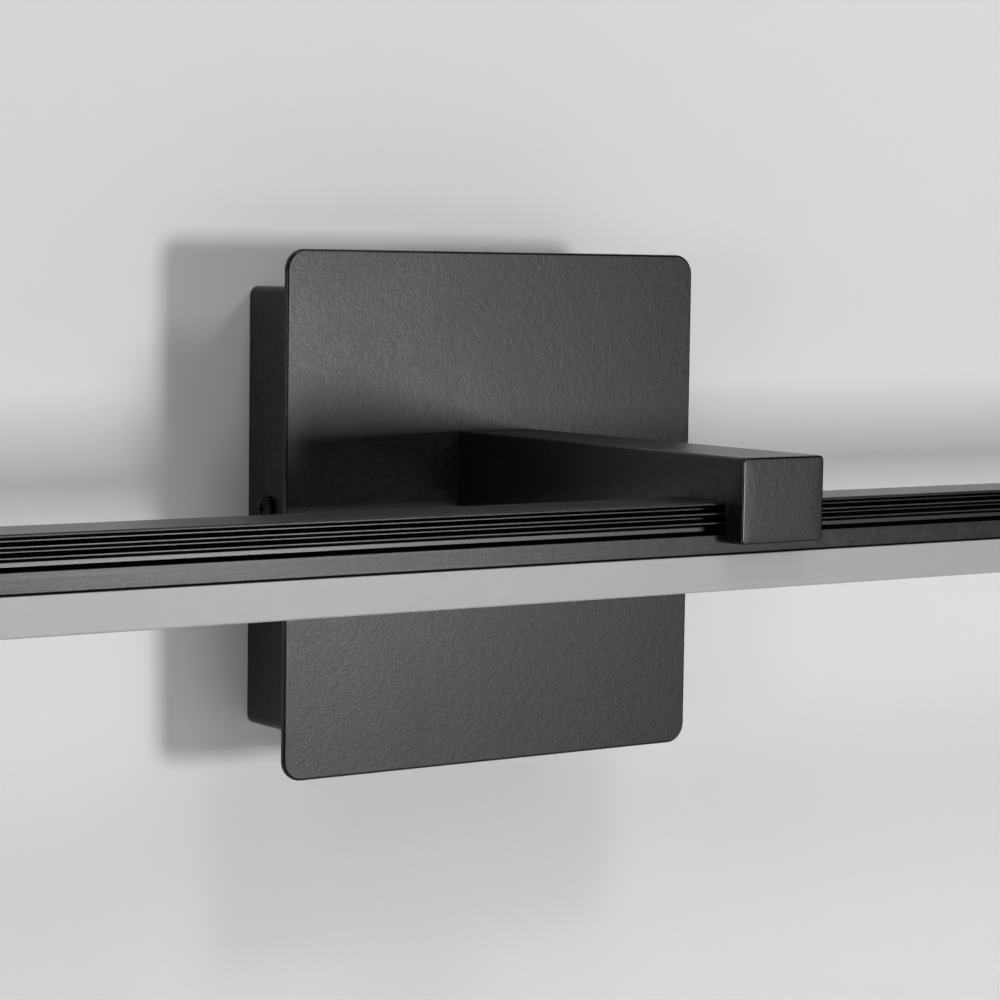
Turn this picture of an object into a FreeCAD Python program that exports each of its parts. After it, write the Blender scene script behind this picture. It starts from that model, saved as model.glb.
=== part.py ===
import FreeCAD, Part
import math
import os
import re

import Sketcher
from FreeCAD import Placement, Rotation, Vector

# A wall-mounted vanity light bar, in millimetres. +X runs along the bar, +Y into the wall, +Z up.
# The origin is on the wall's surface, at the centre of the square canopy.

sizes = {
    # front plate and canopy
    "plateWidth": 120, "plateHeight": 125, "plateThickness": 1.5, "plateCorner": 5, "plateEdge": 0.7,
    "canopyWidth": 102, "canopyHeight": 107, "canopyDepth": 31.2, "sheetThickness": 1.2,
    "canopyCorner": 2.3, "studAcross": 43, "studUp": 46, "studRadius": 2, "studLength": 8,
    "studClearance": 0.2, "nutRadius": 3.9, "nutHeight": 3.2, "nutFlange": 0.5, "nutFlangeHeight": 0.9,
    "nutClearance": 0.15, "wireHoleClearance": 0.2,
    # arm
    "armWidth": 22.7, "armHeight": 18.7, "armTop": 19.25, "armReach": 107.3, "armWall": 1.5,
    "armEdge": 0.6, "armCapThickness": 1, "armPlug": 3, "notchGap": 0.1, "mouthRadius": 1.4,
    "rootBlockLength": 10, "rootScrewAcross": 5.8, "rootScrewUp": 6.8, "rootHole": 2.2, "rootThread": 2.1,
    "armScrewRadius": 2, "armScrewLength": 12, "armScrewHead": 3.6, "armScrewHeadHeight": 2.6,
    "washerRadius": 3.6, "washerBore": 2.15, "washerThickness": 0.8, "wireUp": 14,
    "saddleThickness": 2.5, "saddleOverlap": 3.4, "saddleShortening": 2.2,
    # bar
    "barLength": 600, "barDepth": 16, "barTop": 9.45, "barCentre": 126.2, "endCapThickness": 2,
    "flangeTip": 0.59, "ridgePitch": 2.03, "ridgeTip": 0.35, "flankDrop": 0.78, "grooveFloor": 0.36,
    "lastFloor": 0.96, "grooveDepth": 2.8, "stripTop": 2.41, "stripBottom": -1.6,
    "channelTop": 1.5, "channelHalf": 6.6, "chamberHalf": 3.8, "chamberTop": 8.15, "chamberFloor": 2.8,
    "barScrewAcross": 7, "barScrewRadius": 1.5, "barScrewLength": 5, "barScrewHead": 2.8,
    "barScrewHeadHeight": 1.8, "accessHole": 3.2, "pegLength": 6, "fitGap": 0.3, "endCapCorner": 0.8,
    "endCapRim": 0.4,
    # light source
    "boardLength": 580, "boardWidth": 10, "boardThickness": 1.2, "tapeThickness": 0.2,
    "chipPitch": 10, "chipLength": 3.5, "chipWidth": 2.8, "chipHeight": 0.7,
    "connectorLength": 6, "connectorWidth": 5, "connectorHeight": 3.7, "connectorCorner": 0.4,
    "diffuserTop": -1.99, "diffuserBottom": -9.75, "diffuserWall": 1.4, "legTop": 1.2,
    "legOuter": 6.4, "legInner": 5.2, "diffuserEdge": 0.5,
    # wall bracket
    "strapHalfWidth": 49.5, "strapHeight": 26, "strapThickness": 2, "strapBend": 3, "earDepth": 16,
    "slotAcross": 37.4, "slotLength": 16, "slotRadius": 2.4, "centreHole": 10,
    "sideScrewDepth": 9.9, "sideScrewUp": 0, "sideScrewRadius": 2, "sideScrewLength": 8,
    "sideScrewHead": 3.1, "sideScrewHeadHeight": 2.2, "sideHoleClearance": 0.3, "earClearance": 0.1,
    "groundAcross": 19, "groundUp": 2, "groundHole": 1.9, "groundScrewRadius": 1.75,
    "groundScrewLength": 2.6, "groundScrewHead": 3.2, "groundScrewHeadHeight": 1.8, "ringRadius": 4,
    "ringBore": 1.95, "ringThickness": 0.8, "tongueWidth": 3, "tongueLength": 6, "barrelRadius": 1.8,
    "barrelLength": 7, "barrelStart": 4, "barrelStep": 1.9,
    # wiring
    "padThickness": 0.8, "padInset": 3, "terminalPadInset": 2, "driverLeft": -31, "driverLength": 69,
    "driverBottom": -46, "driverHeight": 26, "driverDepth": 18, "driverWall": 1.5, "driverCorner": 1.5,
    "boardGap": 2, "boardInset": 1, "driverBoardThickness": 1.6, "transformerWidth": 15,
    "transformerDepth": 9, "transformerHeight": 13, "inletRadius": 4, "inletLength": 9,
    "outletRadius": 3.5, "outletLength": 8, "chokeRadius": 4.2, "chokeLength": 7, "terminalLeft": 14,
    "terminalLength": 26, "terminalBottom": 25.4, "terminalHeight": 16, "terminalDepth": 13,
    "terminalCorner": 1, "firstPole": 5, "polePitch": 8, "lowRow": 4, "highRow": 12, "wellRadius": 2.4,
    "wellDepth": 4, "clampRadius": 2, "clampHeight": 2.2, "clampSlot": 0.6, "clampSlotFloor": 1.4,
    "mainsRadius": 1.2, "mainsDepth": 22, "leadRadius": 0.9, "leadAcross": 1.3, "leadDepth": 17,
    "leadBend": 10, "tipBend": 4, "bushBore": 3, "bushWall": 0.6, "armBushRim": 2, "armBushFlange": 1.2,
    "barBushRim": 1, "barBushFlange": 0.8, "bushClearance": 0.15, "supplyBend": 30, "groundBend": 5,
    "groundRise": 5.5,
}

doc = FreeCAD.newDocument("VanityLightBar")
sheet = doc.addObject("Spreadsheet::Sheet", "sizes")
for row, (alias, amount) in enumerate(sizes.items(), 1):
    sheet.set(f"A{row}", alias)
    sheet.set(f"B{row}", str(amount))
    sheet.setAlias(f"B{row}", alias)
doc.recompute()

nodes = []


def bound(text):
    """The same formula with each size's name pointing at the sheet."""
    return re.sub(r"[A-Za-z]\w*", lambda found: "sizes." + found.group(), str(text))


def valueOf(text):
    """A formula's value as a plain number."""
    return float(sheet.evalExpression(bound(text)))


def bind(item, **formulas):
    for name, formula in formulas.items():
        item.setExpression(name, bound(formula))
    return item


def place(item, spot, turn=None):
    if turn is not None:
        item.Placement = Placement(Vector(), turn)
    for axis, formula in zip("xyz", spot):
        item.setExpression(f"Placement.Base.{axis}", bound(formula))
    return item


def keep(item, label):
    item.Label = label
    nodes.append(item)
    return item


alongX = Rotation(Vector(0, 1, 0), 90)
alongY = Rotation(Vector(1, 0, 0), -90)
outward = Rotation(Vector(1, 0, 0), 90)
upward = Rotation()
downward = Rotation(Vector(1, 0, 0), 180)
alongMinusX = Rotation(Vector(0, 1, 0), -90)


def box(name, size, corner):
    item = doc.addObject("Part::Box", name)
    bind(item, Length=size[0], Width=size[1], Height=size[2])
    return place(item, corner)


def cylinder(name, radius, length, spot, turn=upward):
    item = doc.addObject("Part::Cylinder", name)
    bind(item, Radius=radius, Height=length)
    return place(item, spot, turn)


def cut(name, base, tools):
    item = doc.addObject("Part::Cut", name)
    item.Base = base
    item.Tool = tools[0] if len(tools) == 1 else fuse(name + "Tools", tools)
    return item


def fuse(name, items):
    item = doc.addObject("Part::MultiFuse", name)
    item.Shapes = items
    return item


def group(label, items):
    item = doc.addObject("Part::Compound", label)
    item.Links = items
    return keep(item, label)


def rounded(name, base, radius, test):
    """Part fillet on the edges of base that pass a test."""
    doc.recompute()
    item = doc.addObject("Part::Fillet", name)
    item.Base = base
    width = valueOf(radius)
    item.Edges = [(number, width, width) for number, edge in enumerate(base.Shape.Edges, 1) if test(edge)]
    return item


def body(label):
    return keep(doc.addObject("PartDesign::Body", label), label)


def sketchOn(part, name, role, offset="0"):
    sketch = part.newObject("Sketcher::SketchObject", name)
    plane = next(item for item in part.Origin.OriginFeatures if item.Role == role)
    sketch.AttachmentSupport = [(plane, "")]
    sketch.MapMode = "FlatFace"
    sketch.setExpression("AttachmentOffset.Base.z", bound(offset))
    return sketch


def pin(sketch, geometry, point, spot):
    """Ties a point's two coordinates to formulas, measured from the sketch's origin."""
    for kind, formula in zip(("DistanceX", "DistanceY"), spot):
        index = sketch.addConstraint(
            Sketcher.Constraint(kind, -1, 1, geometry, point, valueOf(formula)))
        sketch.setExpression(f"Constraints[{index}]", bound(formula))


def outline(sketch, corners):
    """A closed polygon whose corners are pairs of formulas."""
    points = [Vector(valueOf(across), valueOf(up), 0) for across, up in corners]
    lines = []
    for start, end in zip(points, points[1:] + points[:1]):
        lines.append(sketch.addGeometry(Part.LineSegment(start, end), False))
    for this, following in zip(lines, lines[1:] + lines[:1]):
        sketch.addConstraint(Sketcher.Constraint("Coincident", this, 2, following, 1))
    for line, corner in zip(lines, corners):
        pin(sketch, line, 1, corner)


def rectangle(sketch, left, right, low, high):
    outline(sketch, [(left, low), (right, low), (right, high), (left, high)])


def circle(sketch, spot, radius):
    centre = Vector(valueOf(spot[0]), valueOf(spot[1]), 0)
    ring = sketch.addGeometry(Part.Circle(centre, Vector(0, 0, 1), valueOf(radius)), False)
    index = sketch.addConstraint(Sketcher.Constraint("Radius", ring, valueOf(radius)))
    sketch.setExpression(f"Constraints[{index}]", bound(radius))
    pin(sketch, ring, 3, spot)


def slot(sketch, spot, length, radius):
    """A level slot with round ends: length is end to end."""
    across, up = spot
    near = f"({across}) - ({length}) / 2 + ({radius})"
    far = f"({across}) + ({length}) / 2 - ({radius})"
    size = valueOf(radius)
    left = Vector(valueOf(near), valueOf(up), 0)
    right = Vector(valueOf(far), valueOf(up), 0)
    rise = Vector(0, size, 0)
    leftRing = Part.Circle(left, Vector(0, 0, 1), size)
    rightRing = Part.Circle(right, Vector(0, 0, 1), size)
    quarterTurn = math.pi / 2
    leftArc = sketch.addGeometry(Part.ArcOfCircle(leftRing, quarterTurn, 3 * quarterTurn), False)
    rightArc = sketch.addGeometry(Part.ArcOfCircle(rightRing, -quarterTurn, quarterTurn), False)
    floor = sketch.addGeometry(Part.LineSegment(left - rise, right - rise), False)
    roof = sketch.addGeometry(Part.LineSegment(right + rise, left + rise), False)
    sketch.addConstraint(Sketcher.Constraint("Tangent", leftArc, 2, floor, 1))
    sketch.addConstraint(Sketcher.Constraint("Tangent", floor, 2, rightArc, 1))
    sketch.addConstraint(Sketcher.Constraint("Tangent", rightArc, 2, roof, 1))
    sketch.addConstraint(Sketcher.Constraint("Tangent", roof, 2, leftArc, 1))
    index = sketch.addConstraint(Sketcher.Constraint("Radius", leftArc, size))
    sketch.setExpression(f"Constraints[{index}]", bound(radius))
    pin(sketch, leftArc, 3, (near, up))
    index = sketch.addConstraint(Sketcher.Constraint("DistanceX", -1, 1, rightArc, 3, valueOf(far)))
    sketch.setExpression(f"Constraints[{index}]", bound(far))


def pad(part, sketch, length, reverse=False, midplane=False):
    feature = part.newObject("PartDesign::Pad", sketch.Name + "Pad")
    feature.Profile = sketch
    feature.Reversed = reverse
    feature.Midplane = midplane
    bind(feature, Length=length)
    doc.recompute()
    return feature


def pocket(part, sketch, length=None, reverse=False, midplane=False):
    """Cuts the sketch into the body, all the way through if no length is given."""
    before = part.Shape.Volume
    feature = part.newObject("PartDesign::Pocket", sketch.Name + "Pocket")
    feature.Profile = sketch
    feature.Reversed = reverse
    feature.Midplane = midplane
    if length is None:
        feature.Type = 1
    else:
        bind(feature, Length=length)
    doc.recompute()
    if not part.Shape.Volume < before - 0.01:
        raise RuntimeError(f"{sketch.Name} removes nothing")
    return feature


def fillet(part, name, radius, test):
    edges = [f"Edge{number}" for number, edge in enumerate(part.Tip.Shape.Edges, 1) if test(edge)]
    if not edges:
        raise RuntimeError(f"{name} finds no edge")
    base = part.Tip
    feature = part.newObject("PartDesign::Fillet", name)
    feature.Base = (base, edges)
    bind(feature, Radius=radius)
    doc.recompute()
    return feature


def runsAlong(edge, direction):
    """True for a straight edge parallel to a unit vector."""
    if not isinstance(edge.Curve, Part.Line):
        return False
    heading = edge.Vertexes[1].Point - edge.Vertexes[0].Point
    return abs(heading.dot(direction)) > 0.999 * heading.Length


def matches(first, second):
    return abs(first - second) < 0.01


def screw(name, radius, length, headRadius, headHeight, spot, turn):
    """A pan-head screw with a cross recess; its bearing face is at spot, its head on the +Z side."""
    head = cylinder(name + "Disc", headRadius, headHeight, ("0", "0", "0"))
    dome = rounded(name + "Dome", head, f"0.45 * ({headHeight})",
                   lambda edge: matches(edge.CenterOfMass.z, valueOf(headHeight)))
    shank = cylinder(name + "Shank", radius, length, ("0", "0", f"-({length})"))
    whole = fuse(name + "Blank", [dome, shank])
    depth = f"0.5 * ({headHeight})"
    reach = f"1.1 * ({headRadius})"
    wide = f"0.26 * ({headRadius})"
    first = box(name + "SlotOne", (reach, wide, headHeight), (f"-({reach}) / 2", f"-({wide}) / 2", depth))
    second = box(name + "SlotTwo", (wide, reach, headHeight), (f"-({wide}) / 2", f"-({reach}) / 2", depth))
    return place(cut(name, whole, [first, second]), spot, turn)


def lead(label, radius, points, bends):
    """A round lead along straight runs joined by tangent arcs, one bend radius per inner point."""
    corners = [Vector(*[valueOf(part) for part in point]) for point in points]
    radii = [valueOf(bend) for bend in bends]
    edges = []
    start = corners[0]
    for before, corner, after, bend in zip(corners, corners[1:], corners[2:], radii):
        arrive = (corner - before).normalize()
        leave = (after - corner).normalize()
        half = arrive.getAngle(leave) / 2
        trim = bend * math.tan(half)
        first = corner - arrive * trim
        last = corner + leave * trim
        inward = (leave - arrive).normalize()
        centre = corner + inward * (bend / math.cos(half))
        middle = centre - inward * bend
        if (first - start).Length > 1e-6:
            edges.append(Part.LineSegment(start, first).toShape())
        edges.append(Part.Arc(first, middle, last).toShape())
        start = last
    edges.append(Part.LineSegment(start, corners[-1]).toShape())
    path = Part.Wire(edges)
    heading = (corners[1] - corners[0]).normalize()
    ring = Part.Wire(Part.Circle(corners[0], heading, valueOf(radius)).toShape())
    solid = path.makePipeShell([ring], True, False)
    expected = math.pi * valueOf(radius) ** 2 * path.Length
    if abs(solid.Volume - expected) > 0.01 * expected:
        raise RuntimeError(f"{label} has the wrong volume")
    print(label, "length", round(path.Length, 1), "radii", radii)
    item = doc.addObject("Part::Feature", label)
    item.Shape = solid
    item.Placement = Placement()
    return keep(item, label)


def buildPlate():
    part = body("front_plate")
    sketch = sketchOn(part, "plateOutline", "XZ_Plane", "canopyDepth")
    rectangle(sketch, "-plateWidth / 2", "plateWidth / 2", "-plateHeight / 2", "plateHeight / 2")
    pad(part, sketch, "plateThickness")
    fillet(part, "plateCorners", "plateCorner", lambda edge: runsAlong(edge, Vector(0, 1, 0)))
    front = -valueOf("canopyDepth + plateThickness")
    fillet(part, "plateRim", "plateEdge", lambda edge: matches(edge.CenterOfMass.y, front))
    holes = sketchOn(part, "plateHoles", "XZ_Plane")
    circle(holes, ("0", "wireUp"), "bushBore + bushWall + wireHoleClearance")
    for side in ("-", ""):
        circle(holes, (f"{side}rootScrewAcross", "rootScrewUp"), "rootHole")
    pocket(part, holes, midplane=True)


def buildCanopy():
    part = body("canopy_box")
    sketch = sketchOn(part, "canopyOutline", "XZ_Plane")
    rectangle(sketch, "-canopyWidth / 2", "canopyWidth / 2", "-canopyHeight / 2", "canopyHeight / 2")
    pad(part, sketch, "canopyDepth")
    fillet(part, "canopyCorners", "canopyCorner", lambda edge: runsAlong(edge, Vector(0, 1, 0)))
    hollow = sketchOn(part, "canopyHollow", "XZ_Plane")
    rectangle(hollow, "sheetThickness - canopyWidth / 2", "canopyWidth / 2 - sheetThickness",
              "sheetThickness - canopyHeight / 2", "canopyHeight / 2 - sheetThickness")
    pocket(part, hollow, "canopyDepth - sheetThickness", reverse=True)
    holes = sketchOn(part, "canopyHoles", "XZ_Plane")
    circle(holes, ("0", "wireUp"), "bushBore + bushWall + wireHoleClearance")
    for side in ("-", ""):
        circle(holes, (f"{side}rootScrewAcross", "rootScrewUp"), "rootHole")
        for rise in ("-", ""):
            circle(holes, (f"{side}studAcross", f"{rise}studUp"), "studRadius + studClearance")
    pocket(part, holes, midplane=True)
    sides = sketchOn(part, "canopySideHoles", "YZ_Plane")
    circle(sides, ("-sideScrewDepth", "sideScrewUp"), "sideScrewRadius + sideHoleClearance")
    pocket(part, sides, midplane=True)


def buildStuds():
    """Studs welded to the back of the front plate and the flanged nuts that hold the canopy on them."""
    studs = []
    nuts = []
    for column, side in enumerate(("-", "")):
        for line, rise in enumerate(("-", "")):
            name = f"{column}{line}"
            foot = (f"{side}studAcross", "-canopyDepth", f"{rise}studUp")
            studs.append(cylinder("stud" + name, "studRadius", "studLength", foot, alongY))
            seat = (f"{side}studAcross", "sheetThickness - canopyDepth", f"{rise}studUp")
            hexagon = doc.addObject("Part::Prism", "hex" + name)
            hexagon.Polygon = 6
            bind(hexagon, Circumradius="nutRadius", Height="nutHeight")
            flange = cylinder("flange" + name, "nutRadius + nutFlange", "nutFlangeHeight", ("0", "0", "0"))
            bore = cylinder("bore" + name, "studRadius + nutClearance", "nutHeight * 3",
                            ("0", "0", "-nutHeight"))
            nut = cut("nut" + name, fuse("nutBlank" + name, [hexagon, flange]), [bore])
            nuts.append(place(nut, seat, alongY))
    group("plate_studs", studs)
    group("stud_nuts", nuts)


def buildArm():
    part = body("arm_tube")
    sketch = sketchOn(part, "armOutline", "XZ_Plane", "canopyDepth + plateThickness")
    rectangle(sketch, "-armWidth / 2", "armWidth / 2", "armTop - armHeight", "armTop")
    pad(part, sketch, "armReach - armCapThickness")
    fillet(part, "armEdges", "armEdge", lambda edge: runsAlong(edge, Vector(0, 1, 0)))
    hollow = sketchOn(part, "armHollow", "XZ_Plane", "canopyDepth + plateThickness")
    rectangle(hollow, "armWall - armWidth / 2", "armWidth / 2 - armWall",
              "armTop - armHeight + armWall", "armTop - armWall")
    pocket(part, hollow, midplane=True)
    notch = sketchOn(part, "armNotch", "YZ_Plane")
    rectangle(notch, "-barCentre - barDepth / 2 - notchGap", "notchGap + barDepth / 2 - barCentre",
              "armTop - armHeight * 2", "barTop")
    pocket(part, notch, midplane=True)
    floor = valueOf("armTop - armHeight")
    mouth = [valueOf("-barCentre - barDepth / 2 - notchGap"), valueOf("notchGap + barDepth / 2 - barCentre")]
    fillet(part, "notchMouth", "mouthRadius",
           lambda edge: runsAlong(edge, Vector(1, 0, 0)) and matches(edge.CenterOfMass.z, floor)
           and any(matches(edge.CenterOfMass.y, lip) for lip in mouth))


def buildArmCap():
    """The cap on the arm's front end, with a plug that fits the tube."""
    part = body("arm_end_cap")
    sketch = sketchOn(part, "capOutline", "XZ_Plane",
                      "canopyDepth + plateThickness + armReach - armCapThickness")
    rectangle(sketch, "-armWidth / 2", "armWidth / 2", "armTop - armHeight", "armTop")
    pad(part, sketch, "armCapThickness")
    fillet(part, "capCorners", "armEdge", lambda edge: runsAlong(edge, Vector(0, 1, 0)))
    front = -valueOf("canopyDepth + plateThickness + armReach")
    fillet(part, "capRim", "armEdge", lambda edge: matches(edge.CenterOfMass.y, front))
    plug = sketchOn(part, "capPlug", "XZ_Plane",
                    "canopyDepth + plateThickness + armReach - armCapThickness")
    rectangle(plug, "armWall - armWidth / 2", "armWidth / 2 - armWall",
              "armTop - armHeight + armWall", "armTop - armWall")
    pad(part, plug, "armPlug", reverse=True)


def buildRootBlock():
    """The threaded block in the arm's root, with its wire hole."""
    part = body("arm_root_block")
    sketch = sketchOn(part, "rootOutline", "XZ_Plane", "canopyDepth + plateThickness")
    rectangle(sketch, "armWall - armWidth / 2", "armWidth / 2 - armWall",
              "armTop - armHeight + armWall", "armTop - armWall")
    pad(part, sketch, "rootBlockLength")
    holes = sketchOn(part, "rootHoles", "XZ_Plane")
    circle(holes, ("0", "wireUp"), "bushBore")
    for side in ("-", ""):
        circle(holes, (f"{side}rootScrewAcross", "rootScrewUp"), "rootThread")
    pocket(part, holes, midplane=True)


def buildArmScrews():
    screws = []
    washers = []
    for name, side in (("Left", "-"), ("Right", "")):
        seat = (f"{side}rootScrewAcross", "sheetThickness - canopyDepth + washerThickness", "rootScrewUp")
        screws.append(screw("armScrew" + name, "armScrewRadius", "armScrewLength", "armScrewHead",
                            "armScrewHeadHeight", seat, alongY))
        ring = cylinder("washerDisc" + name, "washerRadius", "washerThickness", ("0", "0", "0"))
        bore = cylinder("washerBore" + name, "washerBore", "washerThickness * 3",
                        ("0", "0", "-washerThickness"))
        washer = cut("washer" + name, ring, [bore])
        washers.append(place(washer, (f"{side}rootScrewAcross", "sheetThickness - canopyDepth",
                                      "rootScrewUp"), alongY))
    group("arm_screws", screws)
    group("arm_lock_washers", washers)


def sleeve(label, flangeRadius, flangeHeight, neckLength, spot, turn):
    """A flanged plastic bush: its flange rises from spot and its neck goes the other way."""
    neck = cylinder(label + "Neck", "bushBore + bushWall", neckLength, ("0", "0", f"-({neckLength})"))
    flange = cylinder(label + "Flange", flangeRadius, flangeHeight, ("0", "0", "0"))
    bore = cylinder(label + "Bore", "bushBore", f"3 * ({neckLength})", ("0", "0", f"-1.5 * ({neckLength})"))
    whole = cut(label, fuse(label + "Blank", [neck, flange]), [bore])
    return keep(place(whole, spot, turn), label)


def buildSaddle():
    """The threaded strip inside the arm, over the notch."""
    part = body("saddle_block")
    sketch = sketchOn(part, "saddleOutline", "XY_Plane", "barTop")
    rectangle(sketch, "armWall - armWidth / 2", "armWidth / 2 - armWall",
              "-barCentre - barDepth / 2 - saddleOverlap + saddleShortening",
              "saddleOverlap + barDepth / 2 - barCentre")
    pad(part, sketch, "saddleThickness")
    holes = sketchOn(part, "saddleHoles", "XY_Plane")
    circle(holes, ("0", "-barCentre"), "bushBore + bushWall + bushClearance")
    for side in ("-", ""):
        circle(holes, (f"{side}barScrewAcross", "-barCentre"), "barScrewRadius + earClearance")
    pocket(part, holes, midplane=True)


def ridgedSide(side):
    """The extrusion's outline down one face: a flange tip, two thin ridges, and the plain strip."""
    outer = f"{side}barDepth / 2"
    inner = f"{side}(barDepth / 2 - grooveDepth)"
    corners = [(outer, "barTop")]
    for number in range(3):
        edge = f"barTop - flangeTip - {number} * ridgePitch"
        last = number == 2
        floor = "lastFloor" if last else "grooveFloor"
        foot = "stripTop" if last else f"{edge} - ridgePitch + ridgeTip"
        corners += [(outer, edge), (inner, f"{edge} - flankDrop"),
                    (inner, f"{edge} - flankDrop - {floor}"), (outer, foot)]
    corners.append((outer, "stripBottom"))
    return corners


def buildExtrusion():
    part = body("bar_extrusion")
    sketch = sketchOn(part, "barProfile", "YZ_Plane", "endCapThickness - barLength / 2")
    front = ridgedSide("-1 * ")
    back = ridgedSide("")
    channel = [("channelHalf", "stripBottom"), ("channelHalf", "channelTop"),
               ("-channelHalf", "channelTop"), ("-channelHalf", "stripBottom")]
    corners = back + channel + front[::-1]
    outline(sketch, [(f"({across}) - barCentre", up) for across, up in corners])
    pad(part, sketch, "barLength - 2 * endCapThickness")
    chamber = sketchOn(part, "barChamber", "YZ_Plane")
    rectangle(chamber, "-barCentre - chamberHalf", "chamberHalf - barCentre", "chamberFloor", "chamberTop")
    pocket(part, chamber, midplane=True)
    top = sketchOn(part, "barTopHoles", "XY_Plane", "chamberTop - 1")
    circle(top, ("0", "-barCentre"), "bushBore + bushWall + bushClearance")
    for side in ("-", ""):
        circle(top, (f"{side}barScrewAcross", "-barCentre"), "barScrewRadius + fitGap")
    pocket(part, top, reverse=True)
    access = sketchOn(part, "barAccessHoles", "XY_Plane", "chamberFloor + 1")
    for side in ("-", ""):
        circle(access, (f"{side}barScrewAcross", "-barCentre"), "accessHole")
    rectangle(access, "-connectorLength / 2 - fitGap", "connectorLength / 2 + fitGap",
              "-barCentre - connectorWidth / 2 - fitGap", "connectorWidth / 2 + fitGap - barCentre")
    pocket(part, access)


def buildBarScrews():
    screws = []
    for name, side in (("Left", "-"), ("Right", "")):
        seat = (f"{side}barScrewAcross", "-barCentre", "chamberTop")
        screws.append(screw("barScrew" + name, "barScrewRadius", "barScrewLength", "barScrewHead",
                            "barScrewHeadHeight", seat, downward))
    group("bar_screws", screws)


def buildEndCap(label, side):
    """A cap on one end of the bar, with a peg in the extrusion's chamber."""
    part = body(label)
    mirrored = side == "-"
    start = "endCapThickness - barLength / 2" if mirrored else "barLength / 2 - endCapThickness"
    sketch = sketchOn(part, label + "Outline", "YZ_Plane", start)
    rectangle(sketch, "-barCentre - barDepth / 2", "barDepth / 2 - barCentre", "diffuserBottom", "barTop")
    pad(part, sketch, "endCapThickness", reverse=mirrored)
    fillet(part, label + "Corners", "endCapCorner", lambda edge: runsAlong(edge, Vector(1, 0, 0)))
    face = abs(valueOf("barLength / 2"))
    fillet(part, label + "Rim", "endCapRim", lambda edge: matches(abs(edge.CenterOfMass.x), face))
    peg = sketchOn(part, label + "Peg", "YZ_Plane", start)
    rectangle(peg, "fitGap - barCentre - chamberHalf", "chamberHalf - fitGap - barCentre",
              "chamberFloor + fitGap", "chamberTop - fitGap")
    pad(part, peg, "pegLength", reverse=not mirrored)


def buildBoard():
    """The aluminium-cored strip with its light chips, tape and poke-in connector."""
    under = "channelTop - tapeThickness - boardThickness"
    back = "-barCentre - boardWidth / 2"
    left = "-boardLength / 2"
    keep(box("led_board", ("boardLength", "boardWidth", "boardThickness"), (left, back, under)), "led_board")
    tape = box("tapeStrip", ("boardLength", "boardWidth", "tapeThickness"),
               (left, back, "channelTop - tapeThickness"))
    window = box("tapeWindow", ("connectorLength + 2 * fitGap", "connectorWidth + 2 * fitGap",
                                "4 * tapeThickness"),
                 ("-connectorLength / 2 - fitGap", "-barCentre - connectorWidth / 2 - fitGap",
                  "channelTop - 2 * tapeThickness"))
    keep(cut("thermal_tape", tape, [window]), "thermal_tape")
    block = box("connectorBlock", ("connectorLength", "connectorWidth", "connectorHeight"),
                ("-connectorLength / 2", "-barCentre - connectorWidth / 2", "channelTop - tapeThickness"))
    keep(rounded("board_connector", block, "connectorCorner", lambda edge: runsAlong(edge, Vector(0, 0, 1))),
         "board_connector")
    chips = []
    pitch = valueOf("chipPitch")
    count = int(valueOf("boardLength") / pitch)
    size = [valueOf(name) for name in ("chipLength", "chipWidth", "chipHeight")]
    middle = -valueOf("barCentre") - size[1] / 2
    height = valueOf(under) - size[2]
    for number in range(count):
        centre = (number - (count - 1) / 2) * pitch
        chips.append(Part.makeBox(*size, Vector(centre - size[0] / 2, middle, height)))
    item = doc.addObject("Part::Feature", "led_chips")
    item.Shape = Part.makeCompound(chips)
    item.Placement = Placement()
    keep(item, "led_chips")


def buildDiffuser():
    """The snap-in trough of frosted acrylic under the extrusion."""
    part = body("diffuser")
    sketch = sketchOn(part, "diffuserProfile", "YZ_Plane", "endCapThickness - barLength / 2")
    outer = "barDepth / 2"
    wall = "barDepth / 2 - diffuserWall"
    right = [(outer, "diffuserBottom"), (outer, "diffuserTop"), ("legOuter", "diffuserTop"),
             ("legOuter", "legTop"), ("legInner", "legTop"), ("legInner", "diffuserTop - diffuserWall"),
             (wall, "diffuserTop - diffuserWall"), (wall, "diffuserBottom + diffuserWall")]
    left = [(f"-1 * ({across})", up) for across, up in right[::-1]]
    outline(sketch, [(f"({across}) - barCentre", up) for across, up in right + left])
    pad(part, sketch, "barLength - 2 * endCapThickness")
    bottom = valueOf("diffuserBottom")
    fillet(part, "diffuserEdges", "diffuserEdge",
           lambda edge: runsAlong(edge, Vector(1, 0, 0)) and matches(edge.CenterOfMass.z, bottom))


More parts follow.
